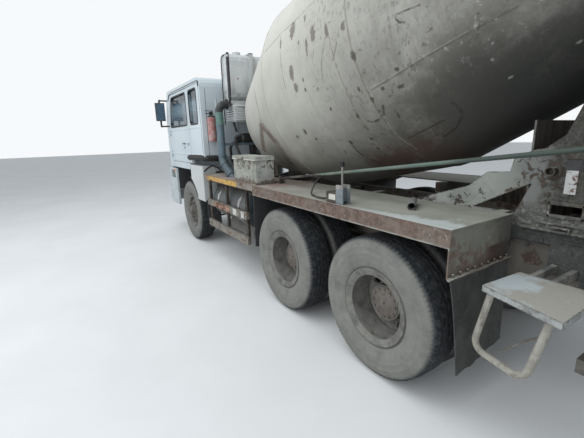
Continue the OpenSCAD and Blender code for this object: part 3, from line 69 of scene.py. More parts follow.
# ---------------------------------------------------------------- materials
class Value:
    """An output of a node; arithmetic on it adds math nodes."""

    def __init__(self, shader, socket):
        self.math, self.socket = shader.math, socket

    def __add__(self, other):
        return self.math("ADD", self, other)

    def __sub__(self, other):
        return self.math("SUBTRACT", self, other)

    def __rsub__(self, other):
        return self.math("SUBTRACT", other, self)

    def __mul__(self, other):
        return self.math("MULTIPLY", self, other)

    def __truediv__(self, other):
        return self.math("DIVIDE", self, other)

    def __abs__(self):
        return self.math("ABSOLUTE", self)

    __radd__, __rmul__ = __add__, __mul__


class Shader:
    """A small writer of node trees. Vectors are object coordinates in metres."""

    def __init__(self, name):
        self.name, self.material, self.color = name, bpy.data.materials.new(name), None
        self.material.use_nodes = True
        self.tree = self.material.node_tree
        self.tree.nodes.clear()
        out = self.tree.nodes.new("ShaderNodeOutputMaterial")
        self.bsdf = self.tree.nodes.new("ShaderNodeBsdfPrincipled")
        self.tree.links.new(self.bsdf.outputs[0], out.inputs[0])
        coord = self.tree.nodes.new("ShaderNodeTexCoord")
        self.pos, self.normal = coord.outputs["Object"], coord.outputs["Normal"]

    def put(self, node, key, value):
        if isinstance(value, Value):
            value = value.socket
        if isinstance(value, bpy.types.NodeSocket):
            self.tree.links.new(value, node.inputs[key])
        elif value is not None:
            node.inputs[key].default_value = value

    def node(self, kind, inputs=(), output=0, **settings):
        n = self.tree.nodes.new("ShaderNode" + kind)
        for key, value in settings.items():
            setattr(n, key, value)
        for key, value in inputs:
            self.put(n, key, value)
        return Value(self, n.outputs[output])

    def math(self, op, *values, clamp=False):
        return self.node("Math", enumerate(values), operation=op, use_clamp=clamp)

    def noise(self, scale, detail=5, rough=0.6, warp=0.0, vec=None, stretch=None):
        """stretch: a factor for each axis of the object's coordinates."""
        if stretch:
            vec = self.node("Mapping", (("Vector", self.pos), ("Scale", stretch)))
        return self.node("TexNoise", (("Vector", self.pos if vec is None else vec), ("Scale", scale),
                                      ("Detail", detail), ("Roughness", rough), ("Distortion", warp)))

    def span(self, value, low, high, out_low=0.0, out_high=1.0):
        """A soft step from out_low to out_high while the value goes from low to high."""
        return self.node("MapRange", ((0, value), ("From Min", low), ("From Max", high), ("To Min", out_low),
                                      ("To Max", out_high)), interpolation_type="SMOOTHSTEP")

    def mix(self, fac, a, b):
        a, b = ((*c, 1.0) if isinstance(c, tuple) else c for c in (a, b))
        return self.node("Mix", ((0, fac), (6, a), (7, b)), 2, data_type="RGBA")

    def tone(self, value, low, high, a, b):
        return self.mix(self.span(value, low, high), a, b)

    def axes(self, vec=None):
        first = self.node("SeparateXYZ", ((0, self.pos if vec is None else vec),))
        return [Value(self, socket) for socket in first.socket.node.outputs]

    def coat(self, fac, paint):
        """Lays a colour over what is there already."""
        self.color = self.mix(fac, self.color, paint)

    def join(self, *values):
        return self.node("CombineXYZ", enumerate(values))

    def bump(self, height, strength=0.3, distance=0.002):
        self.put(self.bsdf, "Normal", self.node("Bump", (("Strength", strength), ("Distance", distance),
                                                         ("Height", height))))

    def edge(self, radius=0.006, low=0.02, high=0.25):
        """Where the surface turns sharply: 1 on worn edges, 0 on flats."""
        soft = self.node("Bevel", (("Radius", radius),), samples=4)
        flat = self.node("NewGeometry", output="Normal")
        same = self.node("VectorMath", ((0, soft), (1, flat)), "Value", operation="DOT_PRODUCT")
        return self.span(1.0 - same, low, high)

    def facing_up(self, low=0.5, high=0.95):
        return self.span(self.axes(self.normal)[2], low, high)

    def done(self, rough, metallic=0.0, specular=None):
        for key, value in (("Base Color", self.color), ("Roughness", rough), ("Metallic", metallic),
                           ("Specular IOR Level", specular)):
            self.put(self.bsdf, key, value)
        M[self.name] = self.material


RUST_DARK, RUST_WARM, DUST = (0.05, 0.028, 0.019), (0.15, 0.068, 0.036), (0.265, 0.245, 0.205)


def worn_paint(name, base, second, chips=0.62, chip_scale=9.0, dust=0.45, low=0.3, high=1.6, rough=0.55,
               streaks=0.25, edges=0.0, dust_color=DUST, up=0.5, rust=(RUST_DARK, RUST_WARM), bump=0.35):
    """Paint with chips down to rust, streaks that run down, and dust towards the ground and on what faces up."""
    s = Shader(name)
    s.color = s.tone(s.noise(1.7, 3), 0.35, 0.65, base, second)
    run = s.noise(1.0, 6, 0.65, stretch=(9, 9, 0.7))
    s.coat(s.span(run, 0.52, 0.75) * streaks, tuple(c * 0.45 for c in base))
    cloud = s.noise(2.3, 6, 0.7)
    height = s.span(s.axes()[2], low, high, 1.0, 0.0)
    dirt = (height * 0.9 + cloud * 0.6) * dust
    dirt = s.math("ADD", dirt, s.facing_up() * (up * 0.6), clamp=True)
    s.coat(dirt, dust_color)
    grain = s.noise(chip_scale, 9, 0.62, warp=0.4)
    field = s.noise(chip_scale * 0.14, 3)
    level = grain + (field - 0.5) * 0.5
    if edges:
        level = level + s.edge() * edges
    chip = s.span(level, chips, chips + 0.025)
    halo = s.span(level, chips - 0.05, chips + 0.01)
    tone = s.tone(s.noise(34, 7), 0.35, 0.7, rust[0], rust[1])
    s.coat(halo * 0.35, rust[1])
    s.coat(chip, tone)
    fine = s.noise(160, 4)
    s.coat(s.span(fine, 0.3, 0.75, 0.0, 0.22), tuple(c * 0.4 for c in base))
    s.bump(chip * -0.8 + s.noise(60, 6) * 0.5, bump)
    s.done(s.span(s.math("MAXIMUM", chip, dirt), 0.0, 1.0, rough, 0.9))


def bare_metal(name, base, second, scale=12.0, rough=0.55, metallic=0.6, dust=0.5, low=0.2, high=1.3):
    s = Shader(name)
    s.color = s.tone(s.noise(scale, 8, 0.7), 0.38, 0.66, base, second)
    height = s.span(s.axes()[2], low, high, 1.0, 0.1)
    cloud = s.span(s.noise(4.0, 7, 0.7), 0.3, 0.75)
    dirt = s.math("MULTIPLY", height * cloud + s.facing_up() * 0.5, dust, clamp=True)
    s.coat(dirt, DUST)
    s.bump(s.noise(90, 6), 0.3)
    s.done(s.span(dirt, 0.0, 0.6, rough, 0.92), metallic)


def rubber(name, base=(0.03, 0.031, 0.032), dust_color=(0.2, 0.195, 0.175), amount=0.6, scale=6.0):
    s = Shader(name)
    cloud = s.span(s.noise(scale, 8, 0.7), 0.32, 0.72)
    s.color = s.mix(cloud * amount, base, dust_color)
    fine = s.noise(220, 3)
    s.coat(s.span(fine, 0.45, 0.8, 0.0, 0.25), (0.3, 0.29, 0.27))
    s.bump(s.noise(120, 5), 0.25, 0.001)
    s.done(0.88, 0.0, 0.3)


def tyre_rubber(name):
    """Local to the wheel: Y is the axle. Sidewalls are caked with grey dust, the tread is darker."""
    s = Shader(name)
    x, _, z = s.axes()
    r = s.math("SQRT", x * x + z * z)
    side = s.span(r, 0.505, 0.534, 1.0, 0.0)
    cloud = s.noise(7, 8, 0.7)
    ringed = s.noise(9, 5, stretch=(0.4, 0.4, 0.4))
    mud = side * s.span(cloud, 0.15, 0.7, 0.45, 1.0)
    s.color = s.mix(mud, (0.022, 0.024, 0.027), (0.205, 0.203, 0.185))
    s.coat(s.span(ringed, 0.5, 0.72) * (side * 0.45), (0.1, 0.1, 0.095))
    rim = s.span(abs(r - 0.3), 0.0, 0.016, 0.55, 0.0)
    s.coat(rim, (0.05, 0.05, 0.047))
    tread = (1.0 - side) * s.span(s.noise(26, 7, 0.75), 0.42, 0.72)
    s.coat(tread * 0.55, (0.12, 0.125, 0.125))
    s.bump(s.noise(70, 6) + cloud * 0.4, 0.45, 0.0015)
    s.done(s.span(mud, 0.0, 1.0, 0.72, 0.95), 0.0, 0.25)


def wheel_paint(name, hub=False):
    """Rim paint in wheel coordinates, dusty in the dish, with a brown hub."""
    s = Shader(name)
    cloud = s.noise(9, 8, 0.7)
    brown, grey = ((0.088, 0.076, 0.066), (0.152, 0.136, 0.121)), ((0.082, 0.08, 0.074), (0.18, 0.176, 0.158))
    s.color = s.tone(cloud, 0.3, 0.62, *(brown if hub else grey))
    rust = s.span(s.noise(22, 8, 0.7, warp=0.5), 0.56, 0.66)
    s.coat(rust * 0.75, (0.085, 0.05, 0.036))
    s.bump(s.noise(80, 6), 0.35, 0.0015)
    s.done(0.82, 0.0, 0.35)


def clear_glass(name, tint=(0.024, 0.042, 0.06), alpha=0.72, painted_sky_reflection=True):
    s = Shader(name)
    dirt = s.span(s.noise(5, 8, 0.7), 0.35, 0.8)
    z = s.axes()[2]
    # Painted reflection of the sky: a pale blue band across the glass
    sky = s.span(z, 2.46, 2.36) * s.span(z, 2.16, 2.28, 0.35, 1.0)
    tint = s.mix(sky * 0.8, tint, (0.23, 0.33, 0.39)) if painted_sky_reflection else tint
    s.color = s.mix(dirt * 0.25, tint, (0.26, 0.3, 0.32))
    s.put(s.bsdf, "Alpha", alpha)
    s.done(s.span(dirt, 0.0, 1.0, 0.06, 0.35), 0.0, 0.8)


def plain(name, base, second, rough=0.5, metallic=0.0, scale=18.0, amount=0.5):
    s = Shader(name)
    s.color = s.mix(s.span(s.noise(scale, 6), 0.35, 0.7) * amount, base, second)
    s.bump(s.noise(140, 4), 0.15, 0.001)
    s.done(rough, metallic)


worn_paint("frame_paint", (0.046, 0.043, 0.039), (0.078, 0.064, 0.053), chips=0.57, dust=0.32, up=0.8,
           rust=(RUST_DARK, (0.078, 0.054, 0.042)))
worn_paint("engine_paint", (0.05, 0.05, 0.048), (0.09, 0.082, 0.074), chips=0.66, dust=0.5)
worn_paint("tank_steel", (0.03, 0.042, 0.055), (0.06, 0.078, 0.09), chips=0.68, dust=0.55, high=1.25)
worn_paint("bumper_paint", (0.4, 0.455, 0.48), (0.46, 0.51, 0.53), chips=0.7, dust=0.35, high=1.1)
worn_paint("cab_paint", (0.505, 0.572, 0.605), (0.565, 0.628, 0.655), chips=0.735, dust=0.16, low=0.6, high=2.2,
           rough=0.38, streaks=0.12, up=0.2, dust_color=(0.4, 0.41, 0.4), bump=0.12)
rubber("flap", (0.075, 0.074, 0.07), (0.175, 0.172, 0.158), 0.85, 3.0)
worn_paint("pedestal_paint", (0.33, 0.335, 0.305), (0.25, 0.255, 0.235), chips=0.565, chip_scale=8, dust=0.35,
           high=1.5, edges=0.22, streaks=0.5)
worn_paint("step_steel", (0.3, 0.325, 0.34), (0.355, 0.375, 0.385), chips=0.66, dust=0.25, edges=0.15,
           dust_color=(0.34, 0.33, 0.31))
worn_paint("box_paint", (0.52, 0.53, 0.5), (0.58, 0.59, 0.56), chips=0.6, chip_scale=8, dust=0.12, edges=0.25, up=0.1,
           high=1.6)
bare_metal("exhaust_steel", (0.09, 0.055, 0.04), (0.15, 0.1, 0.078), rough=0.75, metallic=0.2)
clear_glass("glass")
clear_glass("lamp", (0.55, 0.57, 0.58), 0.9, False)
plain("grille", (0.02, 0.021, 0.022), (0.06, 0.058, 0.055), 0.6)
plain("trim", (0.03, 0.03, 0.032), (0.055, 0.053, 0.05), 0.75)
plain("mirror_shell", (0.02, 0.026, 0.04), (0.055, 0.06, 0.07), 0.5)
wheel_paint("rim")
wheel_paint("hub", True)
tyre_rubber("tyre")
bare_metal("roller_steel", (0.15, 0.135, 0.12), (0.26, 0.25, 0.235), metallic=0.7)
bare_metal("jack_steel", (0.3, 0.295, 0.285), (0.22, 0.2, 0.18), rough=0.4, metallic=0.7, dust=0.4)
plain("dark", (0.012, 0.012, 0.013), (0.04, 0.038, 0.036), 0.7)


def drum_paint():
    """Local Z is the distance from the front head in metres; the angle runs from the top towards the left side."""
    s = Shader("drum_paint")
    x, y, z = s.axes()
    angle = s.math("ARCTAN2", y, x)
    base = s.tone(s.noise(1.1, 4), 0.35, 0.65, (0.42, 0.408, 0.36), (0.49, 0.478, 0.428))
    cloud = s.noise(2.6, 9, 0.72)
    round_it = s.join(z * 9.0, angle * 1.6, 0.0)
    # Grime and painted shade grow towards the underside and towards the rear
    under = s.span(abs(angle), 1.3, 2.95)
    rear = s.span(z, 1.55, 3.45)
    grime_and_shade = under * 0.9 + rear * 0.54
    grime_and_shade = s.math("MULTIPLY", grime_and_shade, s.span(cloud, 0.25, 0.62, 0.62, 1.0), clamp=True)
    s.color = s.mix(grime_and_shade, base, (0.08, 0.076, 0.066))
    # Bands of dirt that run round it, and a mottle of small dark and pale specks
    bands = s.noise(1.0, 7, 0.7, vec=round_it)
    s.coat(s.span(bands, 0.5, 0.72) * s.span(rear, 0.0, 1.0, 0.18, 0.42), (0.115, 0.1, 0.082))
    fine = s.noise(1.0, 8, 0.75, vec=s.join(z * 42.0, angle * 17.0, 0.0))
    mottle = s.span(fine, 0.5, 0.62) * s.span(z, 1.6, 2.5, 0.1, 0.62)
    mottle = mottle * s.span(s.noise(5, 5), 0.36, 0.6, 0.25, 1.0)
    s.coat(mottle, (0.105, 0.096, 0.083))
    pale = s.span(s.noise(15, 9, 0.8), 0.55, 0.66) * s.span(z, 2.2, 3.2, 0.0, 0.7)
    pale = pale * s.span(angle, 2.45, 2.0)
    s.coat(pale, (0.38, 0.38, 0.35))
    # Near-black low at the rear: oily grime with painted shade
    rear_grime_and_shade = s.span(z, 2.65, 3.5) * s.span(abs(angle), 1.9, 2.5)
    rear_grime_and_shade = rear_grime_and_shade * s.span(cloud, 0.22, 0.5, 0.7, 1.0)
    s.coat(rear_grime_and_shade, (0.03, 0.031, 0.028))
    stain = s.span(abs(angle), 2.4, 2.62) * (s.span(z, 1.95, 2.15) * s.span(z, 2.95, 2.65))
    s.coat(stain * s.span(cloud, 0.3, 0.55, 0.2, 0.85), (0.085, 0.052, 0.042))
    # Small chips, denser towards the rear
    grain = s.noise(17, 7, 0.6, warp=0.4)
    level = grain + (rear + under) * 0.03
    chip = s.span(level, 0.67, 0.695)
    s.coat(chip * 0.55, (0.062, 0.05, 0.042))
    ragged = s.noise(30, 8, 0.78) - 0.5
    broken = s.span(s.noise(21, 6, 0.7), 0.36, 0.56, 0.25, 1.0)

    def most(a, b):
        return b if a is None else s.math("MAXIMUM", a, b)

    def spot(at_s, at_deg, half_s, half_deg):
        """An oval patch at a place along the axis and an angle, ragged at its border."""
        u = (z - at_s) / half_s
        w = (angle - math.radians(at_deg)) / math.radians(half_deg)
        d = s.math("SQRT", u * u + w * w)
        return s.span(d + ragged * 3.4, 0.65, 1.25, 1.0, 0.0)

    def spots(*rows):
        """Patches of (s, degrees, half length, half degrees)."""
        mark = None
        for row in rows:
            mark = most(mark, spot(*row))
        return mark

    def stroke(p, q, half):
        """A line between two (s, degrees) places."""
        ps, pa, qs, qa = p[0], math.radians(p[1]), q[0], math.radians(q[1])
        ds, da = qs - ps, qa - pa
        du, dw = z - ps, angle - pa
        t = s.math("DIVIDE", du * ds + dw * da, ds * ds + da * da, clamp=True)
        eu, ew = du - t * ds, dw - t * da
        d = s.math("SQRT", eu * eu + ew * ew) + ragged * (half * 3.0)
        return s.span(d, half * 0.5, half * 1.5, 1.0, 0.0) * broken

    def strokes(*rows):
        """Chains of (half width, (s, degrees), (s, degrees), ...)."""
        mark = None
        for half, *points in rows:
            for p, q in zip(points, points[1:]):
                mark = most(mark, stroke(p, q, half))
        return mark

    bare = spots((1.856, 75.2, 0.042, 4.4), (2.177, 84.8, 0.036, 3.2), (2.352, 88.6, 0.022, 2.9),
                 (2.074, 88.1, 0.015, 3.6), (1.962, 83.5, 0.012, 1.0), (2.06, 75.3, 0.014, 1.6),
                 (1.804, 93.7, 0.034, 3.6), (1.817, 101.0, 0.03, 2.0), (2.537, 91.4, 0.022, 1.6),
                 (1.652, 76.9, 0.012, 2.2))
    s.coat(bare * 0.85, (0.118, 0.098, 0.09))
    dots = spots((1.945, 99.7, 0.012, 1.0), (1.936, 103.8, 0.012, 0.9), (2.142, 116.4, 0.014, 0.9),
                 (1.507, 122.0, 0.024, 1.0), (1.659, 120.9, 0.022, 1.6), (1.745, 126.5, 0.015, 0.8),
                 (2.116, 134.4, 0.02, 1.2), (2.372, 124.1, 0.016, 1.4), (2.586, 120.2, 0.014, 1.0),
                 (2.689, 118.4, 0.014, 0.8), (2.806, 120.9, 0.022, 0.9), (2.515, 114.6, 0.012, 1.0),
                 (2.347, 135.9, 0.018, 0.9), (2.316, 142.3, 0.018, 0.8), (2.577, 102.9, 0.018, 2.0),
                 (2.831, 114.6, 0.014, 0.9))
    s.coat(dots * 0.85, (0.045, 0.038, 0.032))
    crumbs = spots((3.327, 128.4, 0.01, 0.6), (3.363, 122.8, 0.009, 0.5), (3.364, 138.8, 0.014, 0.5),
                   (3.69, 139.1, 0.014, 0.6))
    s.coat(crumbs * 0.6, (0.3, 0.29, 0.265))
    # The rusty triangle low on the front cone
    rusty = strokes((0.052, (0.727, 107.2), (0.522, 114.8), (0.276, 124.8)),
                    (0.066, (0.8, 107.8), (0.985, 121.0), (0.863, 139.2)))
    rusty = rusty * (1.0 - stroke((0.962, 122.5), (0.882, 134.3), 0.022))
    s.coat(rusty * 0.9, s.tone(fine, 0.4, 0.6, (0.088, 0.052, 0.04), (0.135, 0.082, 0.064)))
    # Weld seams, cuts and scrapes, and painted highlights along the weld and some scrapes
    brown = strokes((0.007, (2.144, 70.9), (1.884, 71.5), (1.646, 70.9), (1.293, 72.6)),
                    (0.011, (0.804, 74.7), (0.853, 95.3), (0.825, 107.0)),
                    (0.006, (1.636, 72.7), (1.654, 89.1), (1.657, 98.3)),
                    (0.007, (2.325, 90.6), (2.232, 98.1), (2.186, 104.5)), (0.007, (2.442, 95.7), (2.368, 100.1)),
                    (0.005, (2.164, 91.6), (2.124, 95.8)),
                    (0.006, (2.376, 90.0), (2.39, 112.0), (2.38, 134.0), (2.35, 150.0)))
    s.coat(brown * 0.55, (0.12, 0.086, 0.068))
    dark = strokes((0.012, (2.116, 134.4), (2.096, 139.5), (2.1, 145.5), (2.186, 153.5)),
                   (0.0065, (3.07, 98.1), (2.989, 97.4), (2.922, 97.1), (2.916, 98.4), (2.93, 100.0), (2.963, 101.1)),
                   (0.008, (2.438, 127.8), (2.484, 129.0), (2.551, 128.5), (2.606, 127.4), (2.632, 124.4)),
                   (0.009, (2.689, 128.2), (2.688, 131.5)),
                   (0.01, (3.026, 136.6), (3.044, 140.3), (3.03, 144.4), (2.944, 148.9), (2.824, 150.3)),
                   (0.007, (2.634, 142.2), (2.92, 142.3)))
    s.coat(dark * 0.8, (0.034, 0.028, 0.024))
    weld = ((2.62, 116.9), (2.762, 116.5), (3.014, 115.6), (3.28, 115.0), (3.54, 115.1))
    s.coat(strokes((0.008, *weld)) * 0.6, (0.07, 0.062, 0.052))
    # Painted highlights: thin pale lines beside the weld bead and the scrapes
    glint = strokes((0.0035, *((a - 0.004, b - 0.55) for a, b in weld[:4])),
                    (0.0045, (2.59, 131.2), (2.586, 139.1), (2.612, 150.0)),
                    (0.0035, (2.14, 70.2), (1.884, 70.8), (1.646, 70.2)),
                    (0.0035, (2.832, 95.3), (2.925, 96.4), (3.06, 97.4)))
    s.coat(glint * 0.32, (0.4, 0.39, 0.35))
    # Faint spiral weld lines of the inner blades, and the seam rings
    spiral = s.math("FRACT", z / 0.86 + angle / TURN)
    line = s.span(abs(spiral - 0.5), 0.0, 0.006, 1.0, 0.0)
    s.coat(line * 0.1, (0.16, 0.13, 0.1))
    seam = None
    for at_s in DRUM_SEAMS:
        seam = most(seam, s.span(abs(z - at_s), 0.003, 0.01, 1.0, 0.0))
    s.coat(seam * 0.3, (0.17, 0.13, 0.1))
    height = (chip + bare) * -0.5 + line * 0.6
    height = height + (most(dark, rusty) * -0.7 + s.noise(45, 7) * 0.6)
    s.bump(height, 0.4, 0.003)
    s.done(s.span(grime_and_shade, 0.0, 1.0, 0.55, 0.85), 0.0, 0.4)


def deck_paint():
    """Beige-grey grit on top, rusty skirt with a scraped lower edge, flaking beige-green rear panel."""
    s = Shader("deck_paint")
    x, y, z = s.axes()
    nx, ny, nz = s.axes(s.normal)
    up = s.span(nz, 0.6, 0.9)
    back = s.span(nx, -0.5, -0.9)
    cloud = s.noise(3.0, 8, 0.7)
    rust = s.tone(s.noise(16, 9, 0.7), 0.35, 0.68, (0.082, 0.052, 0.04), (0.175, 0.122, 0.098))
    rust = s.mix(s.span(cloud, 0.42, 0.68, 0.0, 0.7), rust, (0.16, 0.142, 0.118))
    low_edge = s.span(z, 1.18, 1.166) * s.span(z, 1.15, 1.16)
    low_edge = low_edge * s.span(s.noise(9, 6), 0.35, 0.55)
    side = s.mix(low_edge * 0.7, rust, (0.34, 0.34, 0.31))
    spots = s.span(s.noise(42, 8, 0.7), 0.6, 0.66)
    side = s.mix(spots * 0.6, side, (0.34, 0.3, 0.26))
    # Top: grit, redder to the front, a bluish worn strip along the outer edge
    top = s.tone(cloud, 0.3, 0.7, (0.215, 0.216, 0.182), (0.29, 0.285, 0.245))
    front = s.span(x, -0.9, 0.25)
    top = s.mix(front * s.span(s.noise(5, 7), 0.35, 0.6), top, (0.215, 0.145, 0.118))
    corner = s.span(x, -1.55, -2.3) * 0.17
    worn = abs(y) + corner + (s.noise(7, 8, 0.75) - 0.5) * 0.55
    worn = s.span(worn, 1.17, 1.27)
    top = s.mix(worn * s.span(x, -0.9, -2.1, 0.08, 0.85), top, (0.43, 0.465, 0.448))
    grit = s.span(s.noise(130, 6, 0.8), 0.58, 0.7)
    top = s.mix(grit * 0.4, top, (0.12, 0.1, 0.085))
    smear = s.span(s.noise(1.0, 7, stretch=(1.2, 7, 1)), 0.52, 0.66)
    top = s.mix(smear * 0.35, top, (0.17, 0.15, 0.13))
    # Rear panel
    flake = s.noise(15, 10, 0.68, warp=0.6)
    level = flake + s.span(z, 1.26, 1.02, 0.0, 0.17)
    level = level + s.span(abs(y), 1.15, 1.24, 0.0, 0.1)
    panel = s.tone(cloud, 0.3, 0.7, (0.15, 0.15, 0.122), (0.215, 0.212, 0.178))
    panel = s.mix(s.span(level, 0.56, 0.66, 0.0, 0.85), panel, rust)
    panel = s.mix(s.span(s.noise(28, 9, 0.75), 0.6, 0.66) * 0.8, panel, (0.25, 0.24, 0.205))
    brown = s.tone(flake, 0.4, 0.65, (0.062, 0.032, 0.026), (0.11, 0.068, 0.056))
    panel = s.mix(s.span(abs(y), 0.9, 0.8) * s.span(z, 1.12, 1.09), panel, brown)
    panel = s.mix(s.span(abs(y), 0.95, 0.6, 0.0, 0.75), panel, (0.04, 0.038, 0.033))
    stub = s.span(z, 1.277, 1.279) * s.span(abs(x + 1.78), 0.15, 0.14)
    s.color = s.mix(back, side, panel)
    s.coat(up, top)
    # Painted shade: the end face of the pipe stub is near-black for its open bore
    bore_shade = s.span(ny, 0.7, 0.78)
    pipe = s.tone(cloud, 0.35, 0.65, (0.06, 0.058, 0.054), (0.2, 0.2, 0.19))
    s.coat(stub, s.mix(bore_shade, pipe, (0.012, 0.012, 0.012)))
    # Painted shade on the faces that look down
    under = s.span(nz, -0.4, -0.8)
    s.coat(under, (0.055, 0.047, 0.04))
    s.bump(s.noise(60, 8, 0.7) * 0.8 + flake * 0.6, 0.45, 0.003)
    s.done(0.86)


def pedestal_paint():
    """Pale grey paint, clean on the front arm, with a grey-brown crust towards the rear, the foot and the ledges."""
    s = Shader("pedestal_flake")
    x, y, z = s.axes()
    nx, ny, nz = s.axes(s.normal)
    cloud = s.noise(4.2, 9, 0.72)
    drift = (cloud - 0.5) * 0.55
    crumb = s.noise(30, 9, 0.8, warp=0.3)
    paint = s.tone(cloud, 0.32, 0.66, (0.235, 0.245, 0.222), (0.33, 0.338, 0.308))
    paint = s.tone(x * -1.0 + drift, 2.1, 2.34, paint, (0.16, 0.164, 0.152))
    grey = s.tone(crumb, 0.4, 0.6, (0.034, 0.033, 0.029), (0.088, 0.086, 0.076))
    back = s.span(x * -1.0 + drift, 2.36, 2.5)
    paint = s.mix(back, paint, grey)
    # Flakes: few on the front arm, many along edges, at the foot and towards the rear
    flake = s.noise(12, 11, 0.72, warp=0.7)
    level = flake + s.span(x, -2.05, -2.4, 0.0, 0.05)
    level = level + s.edge(0.02, 0.02, 0.3) * 0.13
    level = level + s.span(z, 1.42, 1.2, 0.0, 0.1)
    bare = s.span(level, 0.6, 0.625)
    rust = s.tone(s.noise(24, 8, 0.72), 0.34, 0.68, (0.036, 0.03, 0.026), (0.098, 0.074, 0.058))
    s.color = s.mix(bare, paint, rust)
    # Crust of concrete at the foot and on the ledges
    zone = s.span(z, 1.38, 1.26, 0.0, 1.0) * s.span(x, -2.2, -2.34)
    crust = s.span(crumb + drift * 0.4, 0.46, 0.6) * zone
    s.coat(zone, s.tone(cloud, 0.35, 0.65, (0.07, 0.068, 0.06), (0.125, 0.124, 0.112)))
    s.coat(crust * 0.85, (0.285, 0.285, 0.255))
    s.coat(s.span(nz, 0.5, 0.9) * 0.6, (0.24, 0.232, 0.2))
    # The plate below the ledge is flat grey, the cross plates are brown with streaks; the faces that turn inwards get
    # the same brown as painted shade
    plate = s.tone(cloud, 0.3, 0.7, (0.052, 0.055, 0.052), (0.08, 0.083, 0.078))
    s.coat(s.span(z, 1.185, 1.17) * 0.9, plate)
    streak = s.noise(1.0, 8, 0.7, stretch=(22, 22, 2.2))
    cross = s.tone(streak, 0.38, 0.64, (0.024, 0.021, 0.018), (0.098, 0.08, 0.064))
    s.coat(s.span(abs(nx), 0.55, 0.75), cross)
    s.coat(s.span(ny * s.span(y, 0.0, 0.001, -1.0, 1.0), -0.5, -0.8), cross)
    s.bump(bare * -0.8 + crust * 1.8, 0.7, 0.004)
    s.done(0.88, 0.0, 0.3)


def step_paint():
    """Bluish-white worn sheet with beige dirt and nicked edges; the tube is dusty beige."""
    s = Shader("step_paint")
    x, y, z = s.axes()
    nz = s.axes(s.normal)[2]
    cloud = s.noise(6, 9, 0.75)
    fine = s.noise(46, 8, 0.78, warp=0.3)
    top = s.tone(cloud + s.span(x, -2.5, -2.85, 0.0, 0.22), 0.46, 0.64, (0.435, 0.48, 0.485), (0.335, 0.318, 0.278))
    top = s.mix(s.span(fine, 0.55, 0.68, 0.0, 0.55), top, (0.2, 0.19, 0.165))
    side = s.tone(cloud, 0.36, 0.62, (0.19, 0.195, 0.185), (0.335, 0.345, 0.335))
    side = s.mix(s.span(fine, 0.54, 0.62, 0.0, 0.8), side, (0.085, 0.07, 0.056))
    side = s.mix(s.edge(0.012, 0.02, 0.25) * s.span(fine, 0.36, 0.52), side, (0.06, 0.052, 0.044))
    s.color = s.tone(nz, 0.65, 0.85, side, top)
    tube = s.tone(cloud, 0.34, 0.62, (0.215, 0.2, 0.17), (0.33, 0.315, 0.275))
    tube = s.mix(s.span(fine, 0.55, 0.64, 0.0, 0.75), tube, (0.09, 0.06, 0.045))
    tube = s.mix(s.span(s.noise(1.0, 6, stretch=(30, 30, 5)), 0.52, 0.66, 0.0, 0.5), tube, (0.11, 0.1, 0.085))
    s.coat(s.span(z, 0.938, 0.93), tube)
    s.coat(s.span(y, 0.8, 0.76, 0.0, 0.85), s.tone(cloud, 0.4, 0.6, (0.06, 0.058, 0.052), (0.24, 0.23, 0.2)))
    s.bump(fine * 1.4 + cloud, 0.6, 0.004)
    s.done(0.82, 0.0, 0.35)


def controls_paint():
    """Brown box with a bare white label, blue-grey plates, lever with a black knob, dark cable, grey-green rod."""
    s = Shader("controls_paint")
    x, y, z = s.axes()
    ny = s.axes(s.normal)[1]
    cloud = s.noise(14, 8, 0.72)
    along = s.noise(1.0, 7, 0.7, stretch=(2.2, 9, 9))
    rod = s.tone(along, 0.36, 0.6, (0.085, 0.132, 0.11), (0.165, 0.19, 0.16))
    rod = s.mix(s.span(cloud, 0.5, 0.66, 0.0, 0.7), rod, (0.135, 0.128, 0.105))
    rod = s.mix(s.span(x, -1.95, -2.2, 0.0, 0.92), rod, (0.034, 0.048, 0.04))
    rod = s.mix(s.span(x, -0.9, -0.2, 0.0, 0.75), rod, (0.16, 0.155, 0.132))
    plates = s.tone(cloud, 0.35, 0.65, (0.11, 0.135, 0.15), (0.185, 0.205, 0.21))
    brown = s.tone(cloud, 0.35, 0.65, (0.03, 0.024, 0.02), (0.08, 0.066, 0.054))
    cable = s.tone(along, 0.4, 0.62, (0.022, 0.02, 0.019), (0.11, 0.098, 0.08))
    steel = s.tone(cloud, 0.35, 0.65, (0.16, 0.15, 0.135), (0.3, 0.292, 0.275))
    outer = s.span(y, 1.14, 1.146)

    def span_x(a, b):
        return s.span(x, a - 0.001, a + 0.001) * s.span(x, b + 0.001, b - 0.001)

    s.color = s.mix(s.span(z, 1.434, 1.43) * s.span(x, -1.215, -1.213), rod, cable)
    s.coat(outer * span_x(-1.3405, -1.203), brown)
    label = s.span(z, 1.302, 1.304) * s.span(z, 1.349, 1.347)
    label = label * (span_x(-1.318, -1.235) * s.span(ny, 0.7, 0.9))
    s.coat(label * s.span(cloud, 0.3, 0.42), (0.48, 0.47, 0.42))
    lever = outer * span_x(-1.405, -1.324)
    s.coat(lever, plates)
    s.coat(lever * s.span(z, 1.394, 1.396), steel)
    s.coat(lever * s.span(z, 1.562, 1.566), (0.012, 0.012, 0.013))
    s.bump(s.noise(70, 6), 0.3, 0.002)
    s.done(0.7, 0.0, 0.35)


